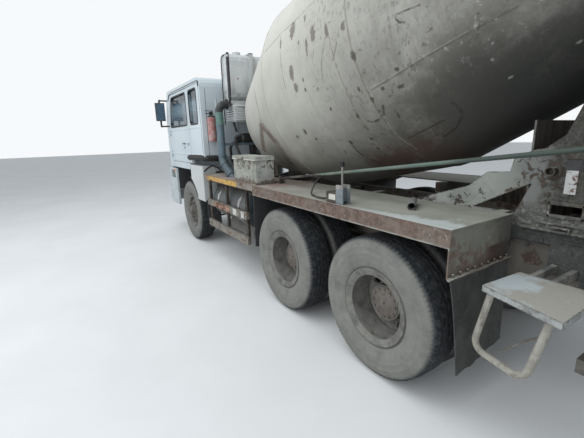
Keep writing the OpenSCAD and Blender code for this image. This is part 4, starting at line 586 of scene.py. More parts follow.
def box_paint():
    """Beige-white tool box, scraped and mottled, with a rust patch on its rear end and a dirty foot."""
    s = Shader("scraped_box")
    z = s.axes()[2]
    nx, _, nz = s.axes(s.normal)
    cloud = s.noise(7, 9, 0.75)
    flake = s.noise(16, 11, 0.74, warp=0.8)
    # One beige-white paint, painted lighter on the end faces and darker on the sides as painted light and shade
    end = s.tone(cloud, 0.34, 0.62, (0.29, 0.295, 0.265), (0.46, 0.47, 0.44))
    side = s.tone(cloud, 0.34, 0.62, (0.205, 0.212, 0.18), (0.3, 0.305, 0.268))
    s.color = s.tone(abs(nx), 0.5, 0.8, side, end)
    level = flake + s.span(z, 1.36, 1.28) * 0.16
    level = level + s.span(z, 1.42, 1.46) * s.span(z, 1.58, 1.54) * 0.05
    chip = s.span(level, 0.555, 0.595)
    rust = s.tone(s.noise(40, 6), 0.35, 0.65, (0.042, 0.034, 0.028), (0.14, 0.092, 0.066))
    s.coat(chip * 0.85, rust)
    s.coat(s.span(nz, 0.6, 0.9, 0.0, 0.8), (0.345, 0.34, 0.3))
    s.bump(chip * -0.8 + s.noise(60, 6) * 0.5, 0.4, 0.003)
    s.done(0.7, 0.0, 0.4)


def guard_paint():
    """Rails in worn grey with rust, nearly black posts."""
    s = Shader("worn_guard")
    z = s.axes()[2]
    cloud = s.noise(9, 9, 0.72)
    rail = s.tone(cloud, 0.34, 0.62, (0.11, 0.098, 0.082), (0.235, 0.218, 0.19))
    rail = s.mix(s.span(s.noise(20, 8, 0.7), 0.52, 0.62, 0.0, 0.8), rail, (0.13, 0.066, 0.042))
    post = s.tone(cloud, 0.4, 0.65, (0.02, 0.018, 0.016), (0.075, 0.062, 0.05))
    high = s.span(z, 0.805, 0.81) * s.span(z, 0.905, 0.9)
    low = s.span(z, 0.475, 0.48) * s.span(z, 0.585, 0.58)
    s.color = s.mix(s.math("MAXIMUM", high, low), post, rail)
    s.bump(s.noise(60, 6), 0.35, 0.002)
    s.done(0.8, 0.0, 0.35)


def tail_paint():
    """Bar of the tail lamps in frame grey, red only on the lenses."""
    s = Shader("tail_paint")
    x = s.axes()[0]
    cloud = s.noise(9, 8, 0.7)
    bar = s.tone(cloud, 0.35, 0.65, (0.045, 0.043, 0.039), (0.12, 0.112, 0.098))
    lens = s.mix(s.span(cloud, 0.4, 0.66, 0.0, 0.5), (0.3, 0.03, 0.024), (0.17, 0.11, 0.09))
    s.color = s.tone(x, -2.886, -2.888, bar, lens)
    s.done(0.55, 0.0, 0.4)


def bottle_red():
    """Faded red bottle with a black valve and horn."""
    s = Shader("bottle_red")
    _, y, z = s.axes()
    cloud = s.noise(14, 8, 0.72)
    red = s.tone(cloud, 0.38, 0.62, (0.33, 0.12, 0.108), (0.4, 0.29, 0.275))
    black = s.math("MAXIMUM", s.span(z, 2.11, 2.116), s.span(abs(y), 1.012, 1.008))
    s.color = s.mix(black, red, (0.02, 0.02, 0.02))
    s.done(0.5, 0.0, 0.4)


def step_bay():
    """Pale paint of the bumper and the step fairing, with painted shade near-black inside the step openings."""
    s = Shader("step_bay")
    x, y, _ = s.axes()
    cloud = s.noise(6, 8, 0.7)
    paint = s.tone(cloud, 0.35, 0.65, (0.4, 0.44, 0.45), (0.5, 0.535, 0.54))
    flake = s.span(s.noise(16, 10, 0.72, warp=0.6), 0.62, 0.66)
    paint = s.mix(flake * 0.8, paint, (0.12, 0.085, 0.062))
    # Painted shade: near-black inside the step openings
    inner = s.span(abs(y), 1.188, 1.18) * s.span(abs(y), 0.88, 0.89)
    inner = inner * s.span(x, 3.9, 3.89)
    black = inner * 0.96
    s.color = s.mix(black, paint, (0.014, 0.014, 0.016))
    s.bump(s.noise(60, 5), 0.2, 0.002)
    s.done(0.6, 0.0, 0.4)


def fuel_paint():
    """Blue-grey dusty tank, near-black towards its rear end."""
    s = Shader("fuel_paint")
    x, _, z = s.axes()
    cloud = s.noise(7, 8, 0.72)
    s.color = s.tone(cloud, 0.34, 0.64, (0.052, 0.066, 0.074), (0.125, 0.145, 0.15))
    s.coat(s.span(x, 0.985, 0.975) * s.span(x, 0.67, 0.68), (0.014, 0.014, 0.014))
    # Painted shade: darker towards the bottom of the tank
    s.coat(s.span(z, 0.8, 0.62) * 0.8, (0.06, 0.055, 0.047))
    s.bump(s.noise(50, 6), 0.25, 0.002)
    s.done(0.6, 0.0, 0.4)


def intake_paint():
    """Rubber elbow above, green pipe, pale grey-blue lower part."""
    s = Shader("intake_paint")
    z = s.axes()[2]
    cloud = s.noise(8, 7, 0.7)
    green = s.tone(cloud, 0.35, 0.68, (0.07, 0.15, 0.125), (0.115, 0.195, 0.168))
    pale = s.tone(cloud, 0.35, 0.68, (0.11, 0.155, 0.18), (0.075, 0.105, 0.125))
    pale = s.mix(s.span(z, 1.62, 1.4, 0.0, 0.7), pale, (0.03, 0.04, 0.05))
    dark = s.tone(cloud, 0.4, 0.7, (0.02, 0.021, 0.022), (0.075, 0.073, 0.068))
    s.color = s.tone(z, 1.995, 2.0, pale, green)
    s.coat(s.span(z, 2.165, 2.17), dark)
    s.bump(s.noise(60, 6), 0.3, 0.002)
    s.done(s.span(z, 2.165, 2.17, 0.55, 0.8))


def tank_paint():
    s = Shader("water_tank_paint")
    z = s.axes()[2]
    cloud = s.noise(4, 8, 0.7)
    s.color = s.tone(cloud, 0.3, 0.7, (0.455, 0.475, 0.47), (0.56, 0.58, 0.575))
    run = s.noise(1.0, 6, stretch=(8, 8, 0.8))
    s.coat(s.span(run, 0.5, 0.72, 0.0, 0.45), (0.2, 0.19, 0.17))
    # Painted shade: a mottled darkening over the lower part of the tank
    low = s.span(z, 2.62, 2.36) * s.span(cloud, 0.35, 0.65)
    s.coat(low * 0.8, (0.085, 0.085, 0.085))
    chip = s.span(s.noise(16, 9, 0.68, warp=0.5), 0.63, 0.65)
    s.coat(chip, RUST_WARM)
    s.bump(s.noise(40, 6), 0.2, 0.002)
    s.done(0.6)


for paint in (drum_paint, deck_paint, pedestal_paint, step_paint, controls_paint, box_paint, guard_paint, tail_paint,
              bottle_red, step_bay, fuel_paint, intake_paint, tank_paint):
    paint()
plain("concrete", (0.3, 0.29, 0.265), (0.19, 0.18, 0.16), 0.95, 0.0, 8.0, 1.0)
plain("black_band", (0.01, 0.01, 0.011), (0.03, 0.029, 0.028), 0.75)
plain("mirror_glass", (0.05, 0.085, 0.125), (0.11, 0.165, 0.205), 0.12)
plain("amber", (0.62, 0.21, 0.03), (0.48, 0.17, 0.06), 0.25)
worn_paint("lip_paint", (0.235, 0.215, 0.185), (0.15, 0.128, 0.108), chips=0.56, chip_scale=18, dust=0.35)
worn_paint("fender_paint", (0.6, 0.63, 0.63), (0.54, 0.56, 0.555), chips=0.7, dust=0.3, low=0.5, high=1.5)
worn_paint("yellow_board", (0.56, 0.33, 0.045), (0.47, 0.26, 0.05), chips=0.6, chip_scale=14, dust=0.35)
worn_paint("orange", (0.44, 0.15, 0.07), (0.33, 0.15, 0.09), chips=0.52, chip_scale=12, dust=0.45)
worn_paint("white_band", (0.56, 0.57, 0.56), (0.48, 0.48, 0.47), chips=0.6, chip_scale=20, dust=0.3)
rubber("flap_grey", (0.028, 0.029, 0.028), (0.088, 0.088, 0.082), 0.75, 5.0)
bare_metal("bright_steel", (0.48, 0.48, 0.47), (0.33, 0.315, 0.295), rough=0.35, metallic=0.8, dust=0.25)

# ---------------------------------------------------------------- carried-over CAD nodes
PAINT_OF = {"side_decks": "deck_paint", "rear_pedestal": "pedestal_flake", "air_intake": "intake_paint",
            "water_tank": "water_tank_paint", "front_fenders": "fender_paint", "oil_cooler": "fender_paint",
            "rear_step": "step_paint", "drum_controls": "controls_paint", "toolbox": "scraped_box",
            "toolbox_lid": "scraped_box", "side_guards": "worn_guard", "tail_lamps": "tail_paint",
            "front_bumper": "step_bay", "extinguisher": "bottle_red"}
PAINT_OF = {p["node"]: p["material_slot"] for p in frame["record"]["subparts"]} | PAINT_OF
for node, obj in NODES.items():
    obj.data.materials.clear()
    obj.data.materials.append(M.get(PAINT_OF.get(node), M["frame_paint"]))


# ---------------------------------------------------------------- shapes
def circle(n):
    """n pairs of cosine and sine round a turn."""
    return [(math.cos(a), math.sin(a)) for a in (TURN * i / n for i in range(n))]


def around(n, r, h, m=Matrix()):
    """n points on a circle about the local Z of m."""
    return [m @ Vector((r * c, r * q, h)) for c, q in circle(n)]


def band_faces(n, k, closed=False):
    """Quads between n rows of k points that run round; closed joins the last point of a row to its first."""
    return [(i * k + j, (i + 1) % n * k + j, (i + 1) % n * k + (j + 1) % k, i * k + (j + 1) % k)
            for i in range(n) for j in range(k if closed else k - 1)]


def spin(axis, at):
    """A matrix whose local Z is the axis, at a place in metres."""
    return Matrix.Translation(at) @ Vector(axis).to_track_quat("Z", "Y").to_matrix().to_4x4()


class Shape:
    """Collects vertices in metres and faces, then makes one object of them."""

    def __init__(self):
        self.v, self.f = [], []

    def add(self, verts, faces):
        base = len(self.v)
        self.v += [Vector(p) for p in verts]
        self.f += [[base + i for i in face] for face in faces]
        return self

    def box(self, x, y, z):
        return self.add([place(x[i], y[j], z[k]) for i in (0, 1) for j in (0, 1) for k in (0, 1)],
                        [(0, 1, 3, 2), (4, 6, 7, 5), (0, 4, 5, 1), (2, 3, 7, 6), (0, 2, 6, 4), (1, 5, 7, 3)])

    def lathe(self, profile, n, matrix=Matrix(), closed=True):
        """profile: (radius, height) pairs in metres round local Z."""
        rings = [around(n, r, h) for r, h in profile]
        return self.add([matrix @ p for row in zip(*rings) for p in row], band_faces(n, len(profile), closed))

    def tube(self, points, r, n=10):
        """A tube along points in metres."""
        pts, verts, side = [Vector(p) for p in points], [], None
        last = len(pts) - 1
        for i, p in enumerate(pts):
            d = (pts[min(i + 1, last)] - pts[max(i - 1, 0)]).normalized()
            if side is None:
                side = d.orthogonal().normalized()
            side = (side - d * side.dot(d)).normalized()
            other = d.cross(side)
            verts += [p + (side * c + other * q) * r for c, q in circle(n)]
        faces = [(i * n + k, i * n + (k + 1) % n, (i + 1) * n + (k + 1) % n, (i + 1) * n + k)
                 for i in range(last) for k in range(n)]
        return self.add(verts, faces + [tuple(reversed(range(n))), tuple(last * n + k for k in range(n))])

    def slab(self, outline, low, high):
        """outline: points in metres; low and high: offset vectors."""
        n = len(outline)
        verts = [Vector(p) + Vector(offset) for offset in (low, high) for p in outline]
        faces = [tuple(range(n)), tuple(reversed(range(n, 2 * n)))]
        return self.add(verts, faces + [(i, n + i, n + (i + 1) % n, (i + 1) % n) for i in range(n)])

    def bolt(self, at, axis, r=0.01, h=0.008):
        d = Vector(axis).normalized()
        return self.tube([Vector(at) - d * 0.002, Vector(at) + d * h], r, 6)

    def make(self, name, material, slot, body="chassis", angle=35.0, bevel=0.0, at=(0, 0, 0), segments=2):
        mesh = bpy.data.meshes.new(name)
        origin = Vector(at)
        mesh.from_pydata([p - origin for p in self.v], [], self.f)
        mesh.materials.append(M[material])
        mesh.validate()
        b = bmesh.new()
        b.from_mesh(mesh)
        bmesh.ops.recalc_face_normals(b, faces=b.faces)
        b.to_mesh(mesh)
        b.free()
        mesh.polygons.foreach_set("use_smooth", [True] * len(mesh.polygons))
        mesh.set_sharp_from_angle(angle=math.radians(angle))
        o = bpy.data.objects.new(name, mesh)
        o.location = at
        bpy.context.scene.collection.objects.link(o)
        if bevel:
            mod = o.modifiers.new("bevel", "BEVEL")
            mod.width, mod.segments, mod.limit_method, mod.angle_limit = bevel, segments, "ANGLE", math.radians(40)
            mod.harden_normals = True
        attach(o, body)
        return o


# ---------------------------------------------------------------- wheels
def crown(y):
    return 0.5425 - 0.006 * (abs(y) / 0.112) ** 2


def tread_band(y0, seed):
    """Five ribs with wavy grooves, notched at both shoulders."""
    periods, rows = 52, []
    for i in range(periods):
        for t in (0.0, 0.06, 0.22, 0.28, 0.5, 0.56, 0.72, 0.78):
            a = TURN * (i + t) / periods
            wave = 0.0045 * math.sin(TURN * t + seed)
            notch = 0.007 if 0.06 <= t <= 0.22 or 0.56 <= t <= 0.72 else 0.0
            shoulder = [(0.133, 0.505), (0.126, 0.52 - notch), (0.118, 0.53 - notch),
                        (0.112, crown(0.112) - notch * 1.2), (0.098, crown(0.098) - notch * 0.5)]
            cols = [(-y, r) for y, r in shoulder]
            for g in (-0.066, -0.023, 0.023, 0.066):
                c = g + wave * (1 if g > 0 else -1)
                cols += [(c - 0.0065, crown(g)), (c - 0.0045, crown(g) - 0.011), (c + 0.0045, crown(g) - 0.011),
                         (c + 0.0065, crown(g))]
            cols += reversed(shoulder)
            rows.append([(r * math.cos(a), y + y0, r * math.sin(a)) for y, r in cols])
    return [p for row in rows for p in row], band_faces(len(rows), len(rows[0]))


SIDEWALL = ((0.1, 0.256), (0.103, 0.2985), (0.112, 0.305), (0.121, 0.318), (0.128, 0.332), (0.1285, 0.336),
            (0.134, 0.35), (0.1395, 0.372), (0.143, 0.392), (0.1446, 0.412), (0.1462, 0.416), (0.145, 0.421),
            (0.1446, 0.44), (0.1436, 0.458), (0.145, 0.462), (0.1428, 0.467), (0.1395, 0.484), (0.1365, 0.495),
            (0.133, 0.505))


def tyre(name, body, centre, offsets, node):
    s, move, n = Shape(), Matrix.Translation(centre), 112
    for index, y0 in enumerate(offsets):
        s.add(*tread_band(y0, index * 1.3))
        for side in (-1, 1):
            s.add([(r * c, side * y + y0, r * q) for c, q in circle(n) for y, r in SIDEWALL],
                  band_faces(n, len(SIDEWALL)))
    s.v = [move @ p for p in s.v]
    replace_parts(s.make(name, "tyre", "tyre", body, angle=30, at=centre), node)


def studs(hub, places, out, nut, end):
    for p in places:
        hub.tube([p, p + out * nut], 0.0165, 6)
        hub.tube([p + out * 0.02, p + out * end], 0.01, 10)


def wheel(axle, kind, x, y, side, tag):
    name, body, twin = f"{axle}_{tag}", f"{axle}_{kind}_{tag}", axle != "front"
    c, out = place(x, side * y, WHEEL_Z), Vector((0, side, 0))
    tyre("tread_" + name, body, c, (-0.16, 0.16) if twin else (0.0,), ("tyres_" if twin else "tyre_") + name)
    hub, rim, m = Shape(), Shape(), spin(out, c)
    if twin:
        # Stepped dish of the outer rim: lock ring, gutter and deep barrel
        rim.lathe([(0.29, 0.2735), (0.298, 0.277), (0.302, 0.27), (0.2985, 0.264), (0.29, 0.266), (0.274, 0.26),
                   (0.264, 0.25), (0.26, 0.236), (0.248, 0.226), (0.243, 0.212), (0.2405, 0.15), (0.24, 0.1),
                   (0.236, 0.084), (0.2415, 0.084), (0.2418, 0.26)], 96, m)
        hub.lathe([(0.01, 0.156), (0.07, 0.156), (0.118, 0.153), (0.126, 0.15), (0.13, 0.144), (0.13, 0.136),
                   (0.134, 0.134), (0.138, 0.129), (0.138, 0.1205), (0.118, 0.119), (0.1165, 0.05), (0.01, 0.05)],
                  72, m)
        for p in around(12, 0.108, 0.153, m):
            hub.tube([p - out * 0.002, p + out * 0.01], 0.0095, 6)
        studs(hub, around(10, 0.145, 0.014, m), out, 0.024, 0.044)
        stem = ((0.236, 0.082), (0.226, 0.096), (0.205, 0.116), (0.196, 0.15))
    else:
        hub.lathe([(0.01, 0.158), (0.05, 0.158), (0.066, 0.154), (0.074, 0.146), (0.078, 0.132), (0.081, 0.112),
                   (0.092, 0.106), (0.096, 0.098), (0.096, 0.086), (0.01, 0.086)], 60, m)
        studs(hub, around(10, 0.142, 0.09, m), out, 0.026, 0.048)
        for p in around(6, 0.06, 0.155, m):
            hub.bolt(p, out, 0.007, 0.006)
        rim.lathe([(0.29, 0.1125), (0.2975, 0.116), (0.301, 0.11), (0.296, 0.104), (0.28, 0.101), (0.262, 0.094),
                   (0.248, 0.08), (0.2425, 0.06), (0.2435, 0.06), (0.26, 0.098)], 96, m)
        stem = ((0.236, 0.04), (0.224, 0.06), (0.215, 0.085), (0.212, 0.105))
    hub.tube([m @ Vector((r, 0.0, h)) for r, h in stem], 0.0045, 8)
    hub.make("hub_" + name, "hub", "rim", body, at=c)
    rim.make("rim_dress_" + name, "rim", "rim", body, at=c)


for row in (("front", "wheel", FRONT_AXLE_X, 1040), ("mid", "wheels", TANDEM_X, 920), ("rear", "wheels", 0, 920)):
    for pair in SIDES:
        wheel(*row, *pair)


# ---------------------------------------------------------------- drum
drum_axis = Vector((-math.cos(DRUM_TILT), 0, math.sin(DRUM_TILT)))
drum_up = Vector((math.sin(DRUM_TILT), 0, math.cos(DRUM_TILT)))
DRUM = Matrix.Translation(place(HEAD_X, 0, HEAD_Z)) @ Matrix((
    (drum_up.x, 0, drum_axis.x, 0), (drum_up.y, 1, drum_axis.y, 0), (drum_up.z, 0, drum_axis.z, 0), (0, 0, 0, 1)))


def on_drum(shape, name, material, angle):
    """Makes an object whose own coordinates are those of the drum, so that its paint turns with it."""
    o = shape.make(name, material, "drum_paint", "drum", angle=angle)
    o.data.transform(DRUM.inverted())
    o.parent = None
    o.matrix_world = DRUM
    bpy.context.view_layer.update()
    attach(o, "drum")
    return o


def drum_skin():
    """Turned skin with seam rings, shallow dents, the roller track and the rim of the mouth."""
    knots = [(0.0, 0.77), (0.834, 1.006), (1.241, 1.125), (2.579, 1.125), (4.211, 0.6343)]

    def radius(at):
        for (a, ra), (b, rb) in zip(knots, knots[1:]):
            if at <= b:
                return ra + (rb - ra) * (at - a) / (b - a)
        return knots[-1][1]

    marks = {round(i * 0.05, 3) for i in range(85)}
    marks |= {x + d for x in DRUM_SEAMS for d in (-0.02, -0.008, -0.003, 0.003, 0.008, 0.02)}
    t0, t1, track, outer = 3.856, 3.946, 0.7573, []
    for z in sorted(marks):
        if 0.012 < z < 4.2 and not t0 - 0.02 < z < t1 + 0.02:
            near = min(abs(z - x) for x in DRUM_SEAMS)
            outer.append((radius(z) + (0.004 if near < 0.006 else -0.001 if near < 0.013 else 0.0), z))
    ring = [(radius(t0 - 0.016), t0 - 0.016), (radius(t0) + 0.01, t0 - 0.001), (track - 0.003, t0),
            (track, t0 + 0.004), (track, t1 - 0.004), (track - 0.003, t1), (radius(t1) + 0.01, t1 + 0.001),
            (radius(t1 + 0.016), t1 + 0.016)]
    outer = [p for p in outer if p[1] < t0 - 0.016] + ring + [p for p in outer if p[1] > t1 + 0.016]
    head = [(0.06, -0.06), (0.18, -0.06), (0.183, -0.057), (0.183, -0.025), (0.33, -0.025), (0.334, -0.021),
            (0.334, -0.002), (0.6, -0.006), (0.735, -0.004), (0.762, 0.0), (0.772, 0.01)]
    mouth = [(radius(4.205), 4.205), (radius(4.211), 4.211), (0.64, 4.212), (0.644, 4.216), (0.644, 4.246),
             (0.64, 4.251), (0.612, 4.251), (0.608, 4.246)]
    inner = [(0.618, 4.15), (1.111, 2.579), (1.111, 1.241), (0.992, 0.834), (0.76, 0.014), (0.01, 0.014),
             (0.01, -0.055)]
    s, n, prof = Shape(), 220, head + outer + mouth + inner
    for i in range(n):
        a = TURN * i / n
        for j, (r, z) in enumerate(prof):
            dent = 0.0
            if len(head) <= j < len(head) + len(outer) and not t0 - 0.05 < z < t1 + 0.05:
                dent = 0.0022 * math.sin(3 * a + 5 * z) * math.sin(7 * a - 3.1 * z + 1.0)
                dent -= 0.002 * abs(math.sin(11 * a + 2.3 * z))
            s.v.append(DRUM @ Vector(((r + dent) * math.cos(a), (r + dent) * math.sin(a), z)))
    s.f = band_faces(n, len(prof), True)
    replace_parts(on_drum(s, "drum_skin", "drum_paint", 28), "drum")


def drum_blades():
    """The two spiral blades as they show through the mouth, caked with concrete."""
    s = Shape()
    n, first, last, lead, half = 130, 2.75, 3.95, 1.15, 0.004
    for start in (0.0, math.pi):
        base = len(s.v)
        for i in range(n + 1):
            z = first + (last - first) * i / n
            a = start + TURN * (z - first) / lead
            wall = 0.618 + (4.15 - z) * 0.3138 + 0.005
            edge = wall - 0.21 + 0.06 * i / n
            for r, dz in ((wall, -half), (edge, -half), (edge, half), (wall, half)):
                s.v.append(DRUM @ Vector((r * math.cos(a), r * math.sin(a), z + dz)))
        s.f += [[base + i * 4 + j, base + i * 4 + (j + 1) % 4, base + i * 4 + 4 + (j + 1) % 4, base + i * 4 + 4 + j]
                for i in range(n) for j in range(4)]
        s.f += [[base + j for j in (3, 2, 1, 0)], [base + n * 4 + j for j in range(4)]]
    on_drum(s, "drum_blades", "concrete", 40)


drum_skin()
drum_blades()


# ---------------------------------------------------------------- decks, flaps and rear step
def deck_trim(side, tag):
    """Welded patch, bottom lip with bolts, folded top edge and the board along the platform."""
    # Patch on the rear panel: a trapezoid with one cut corner
    patch = path(side, (-607, 846, 1100), (-607, 846, 1190), (-607, 790, 1240), (-607, 600, 1262), (-607, 600, 1112))
    Shape().slab(patch, (-0.0045, 0, 0), (0.001, 0, 0)).make("panel_patch_" + tag, "deck_paint", "deck_steel",
            bevel=0.0012)
    lip = path(side, (-614, 590, 986), (-616, 900, 984), (-614, 1245, 986))
    Shape().tube(lip, 0.011, 14).make("panel_lip_" + tag, "lip_paint", "deck_steel")
    bolts = Shape()
    for i in range(9):
        bolts.bolt(place(-615, side * (625 + i * 73), 1006), (-1, 0, 0), 0.0095, 0.008)
    for x in range(-480, 1800, 390):
        bolts.bolt(place(x, side * 1245, 1215), (0, side, 0), 0.008, 0.006)
    bolts.make("panel_bolts_" + tag, "bright_steel" if side < 0 else "deck_paint", "deck_steel")
    # Folded strips along the outer top edge and over the rear edge
    edge = Shape().box((-611, 1850), flank(side, 1238, 1248), (1268, 1278))
    edge.box((-612, -600), flank(side, 590, 1247), (1262, 1278))
    edge.make("deck_edge_" + tag, "deck_paint", "deck_steel", bevel=0.0035)
    for name, spans, paint in (("edge_board_", ((2340, 3430),), "yellow_board"),
                               ("edge_board_tail_", ((1870, 2335), (3435, 3560)), "lip_paint")):
        board = Shape()
        for x in spans:
            board.box(x, flank(side, 1225, 1229), (1205, 1268))
        board.make(name + tag, paint, "deck_steel", bevel=0.001)


def flap_sheet(name, x, y_range, z_range, lean, wave, torn, material):
    """A rubber sheet with a soft crease and an uneven lower edge; its outer edge comes in by lean at the bottom."""
    s, ny, nz, half = Shape(), 26, 34, 0.004
    (y0, y1), (z0, z1) = y_range, z_range
    sheet = []
    for j in range(nz + 1):
        b = j / nz
        sag = (1 - b) ** 1.4
        outer = y1 - (y1 - y0) / abs(y1 - y0) * lean * (1 - b) ** 0.8
        for i in range(ny + 1):
            a = i / ny
            rag = 9 * math.sin(9 * a) + 6 * math.sin(23 * a + 1) if torn else 3 * math.sin(7 * a)
            bottom = z0 + torn * (1 - a) + rag
            fold = 1000 * wave * sag * (0.5 + 0.5 * math.cos(2.4 * math.pi * a - 0.6))
            sheet.append(place(x - fold + 18 * sag * max(0.0, a - 0.72) / 0.28, y0 + (outer - y0) * a,
                               bottom + (z1 - bottom) * b))
    k, n = ny + 1, len(sheet)
    for base, off in ((0, -half), (n, half)):
        s.v += [p + Vector((off, 0, 0)) for p in sheet]
        s.f += [[base + j * k + i, base + j * k + i + 1, base + (j + 1) * k + i + 1, base + (j + 1) * k + i]
                for j in range(nz) for i in range(ny)]
    rim = [*range(k), *(j * k + ny for j in range(1, nz + 1)), *(nz * k + i for i in range(ny - 1, -1, -1)),
           *(j * k for j in range(nz - 1, 0, -1))]
    s.f += [[a, b, b + n, a + n] for a, b in zip(rim, rim[1:] + rim[:1])]
    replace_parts(s.make(name, material, "flap", angle=50), "mudflaps")


def step_dress():
    """Ragged crust on the rear step and the thin cross rod of its tube."""
    plan = [(-742, 1119), (-768, 768), (-1158, 768), (-1158, 1229)]
    ring = []
    for (xa, ya), (xb, yb) in zip(plan, plan[1:] + plan[:1]):
        n = max(2, int(math.hypot(xb - xa, yb - ya) / 14))
        for i in range(n):
            k, a = i / n, len(ring)
            wob = 2.6 * math.sin(a * 1.9) + 1.8 * math.sin(a * 4.3 + 1.0)
            ring.append((xa + (xb - xa) * k + wob * (yb - ya) / 500, ya + (yb - ya) * k - wob * (xb - xa) / 500, 969))
    Shape().slab(path(1, *ring), (0, 0, 0), (0, 0, 0.004)).make("step_crust", "step_paint", "step_steel", bevel=0.001)
    rod = path(1, (-1040, 1134, 807), (-975, 1105, 742), (-900, 1072, 655), (-840, 1039, 580))
    Shape().tube(rod, 0.006, 8).make("step_cross_rod", "roller_steel", "step_steel")


for side, tag in SIDES:
    deck_trim(side, tag)
for side, tag in SIDES:
    flap_sheet("rear_flap_" + tag, -617, (side * 606, side * 1240), (287, 986), 172, 0.01, 105, "flap_grey")
    flap_sheet("mid_flap_" + tag, 1909, (side * 616, side * 1212), (522, 1268), 10, 0.004, 0, "trim")
    flap_sheet("front_flap_" + tag, 3656, (side * 962, side * 1198), (402, 848), 40, 0.002, 0, "trim")
step_dress()


# ---------------------------------------------------------------- rear pedestal and side guards
def pedestal_dress(side, tag):
    y0 = 462
    s = Shape()
    # Frame round the small window, ledges with crust, and the hook bracket
    for x, z, out in (((-940, -750), (1345, 1362), 14), ((-940, -750), (1267, 1284), 14),
                      ((-765, -750), (1267, 1362), 14), ((-940, -925), (1267, 1362), 14),
                      ((-985, -610), (1176, 1190), 34), ((-985, -700), (1222, 1232), 22),
                      ((-985, -840), (1120, 1130), 16), ((-880, -790), (1205, 1215), 42)):
        s.box(x, flank(side, y0, y0 + out), z)
    s.box((-892, -880), flank(side, y0 + 30, y0 + 42), (1178, 1215))
    s.make("pedestal_ledges_" + tag, "pedestal_flake", "pedestal_paint", bevel=0.003)
    # Bare sign plate, and the pale plate near the top over a dark sheet that is painted shade of its recess
    for name, x, out, z, paint, bevel in (("sign", (-877, -817), 3, (1417, 1558), "white_band", 0.001),
                                          ("plate", (-897, -811), 5, (1622, 1676), "pedestal_flake", 0.0015),
                                          ("recess", (-890, -815), 2, (1556, 1620), "trim", 0.0)):
        Shape().box(x, flank(side, y0, y0 + out), z).make(f"pedestal_{name}_{tag}", paint, "pedestal_paint",
                bevel=bevel)
    n = Shape()
    for x, z in ((-740, 1405), (-960, 1405), (-740, 1110), (-960, 1110), (-660, 1060), (-900, 1060), (60, 1140),
                 (-120, 1140), (250, 1140)):
        n.bolt(place(x, side * y0, z), (0, side, 0), 0.013, 0.011)
    # Collar round the pipe stub
    n.lathe([(0.028, 0.0), (0.045, 0.0), (0.045, 0.008), (0.028, 0.008)], 36,
            spin((0, side, 0), place(-752, side * y0, 1549)))
    n.make("pedestal_bolts_" + tag, "pedestal_flake", "pedestal_paint")


def guard_dress(side, tag):
    y = flank(side, 1205, 1208)
    for name, spans, z in (("orange", ((2680, 3250),), (816, 896)),
                           ("white", ((2450, 2560), (2210, 2300)), (812, 898))):
        s = Shape()
        for x in spans:
            s.box(x, y, z)
        s.make(f"guard_{name}_{tag}", "orange" if name == "orange" else "white_band", "guard_paint", bevel=0.0008)
    b = Shape()
    for x in (2200, 2845, 3510):
        for z in (835, 875, 505, 555):
            b.bolt(place(x, side * 1205, z), (0, side, 0), 0.01, 0.009)
    b.make("guard_bolts_" + tag, "bright_steel", "guard_paint")


for dress in (pedestal_dress, guard_dress):
    for pair in SIDES:
        dress(*pair)


# ---------------------------------------------------------------- fuel tank and toolbox
def fuel_tank_dress():
    mid, y, z = 2915, 880, 870
    ends, strap = Shape(), Shape()
    for out in (-1, 1):
        ends.lathe([(0.25, -0.02), (0.2555, -0.012), (0.2555, 0.0), (0.244, 0.006), (0.2, 0.008), (0.05, 0.009),
                    (0.001, 0.009)], 72, spin((out, 0, 0), place(mid + out * 575, y, z)), closed=False)
    ends.make("fuel_tank_ends", "fuel_paint", "tank_steel")
    for x in (mid - 368, mid + 368):
        strap.lathe([(0.2562, -0.026), (0.2585, -0.024), (0.2585, 0.024), (0.2562, 0.026)], 96,
                    spin((1, 0, 0), place(x, y, z)))
        strap.tube(path(1, (x, 1104, 1003), (x, 1128, 960)), 0.009, 12)
    strap.make("fuel_tank_straps", "bright_steel", "tank_steel")
    cap = Shape().lathe([(0.046, 0.0), (0.056, 0.003), (0.056, 0.026), (0.05, 0.032), (0.001, 0.034)], 40,
                        Matrix.Translation(place(mid + 120, y, 1143)), closed=False)
    cap.make("fuel_cap", "trim", "tank_steel")


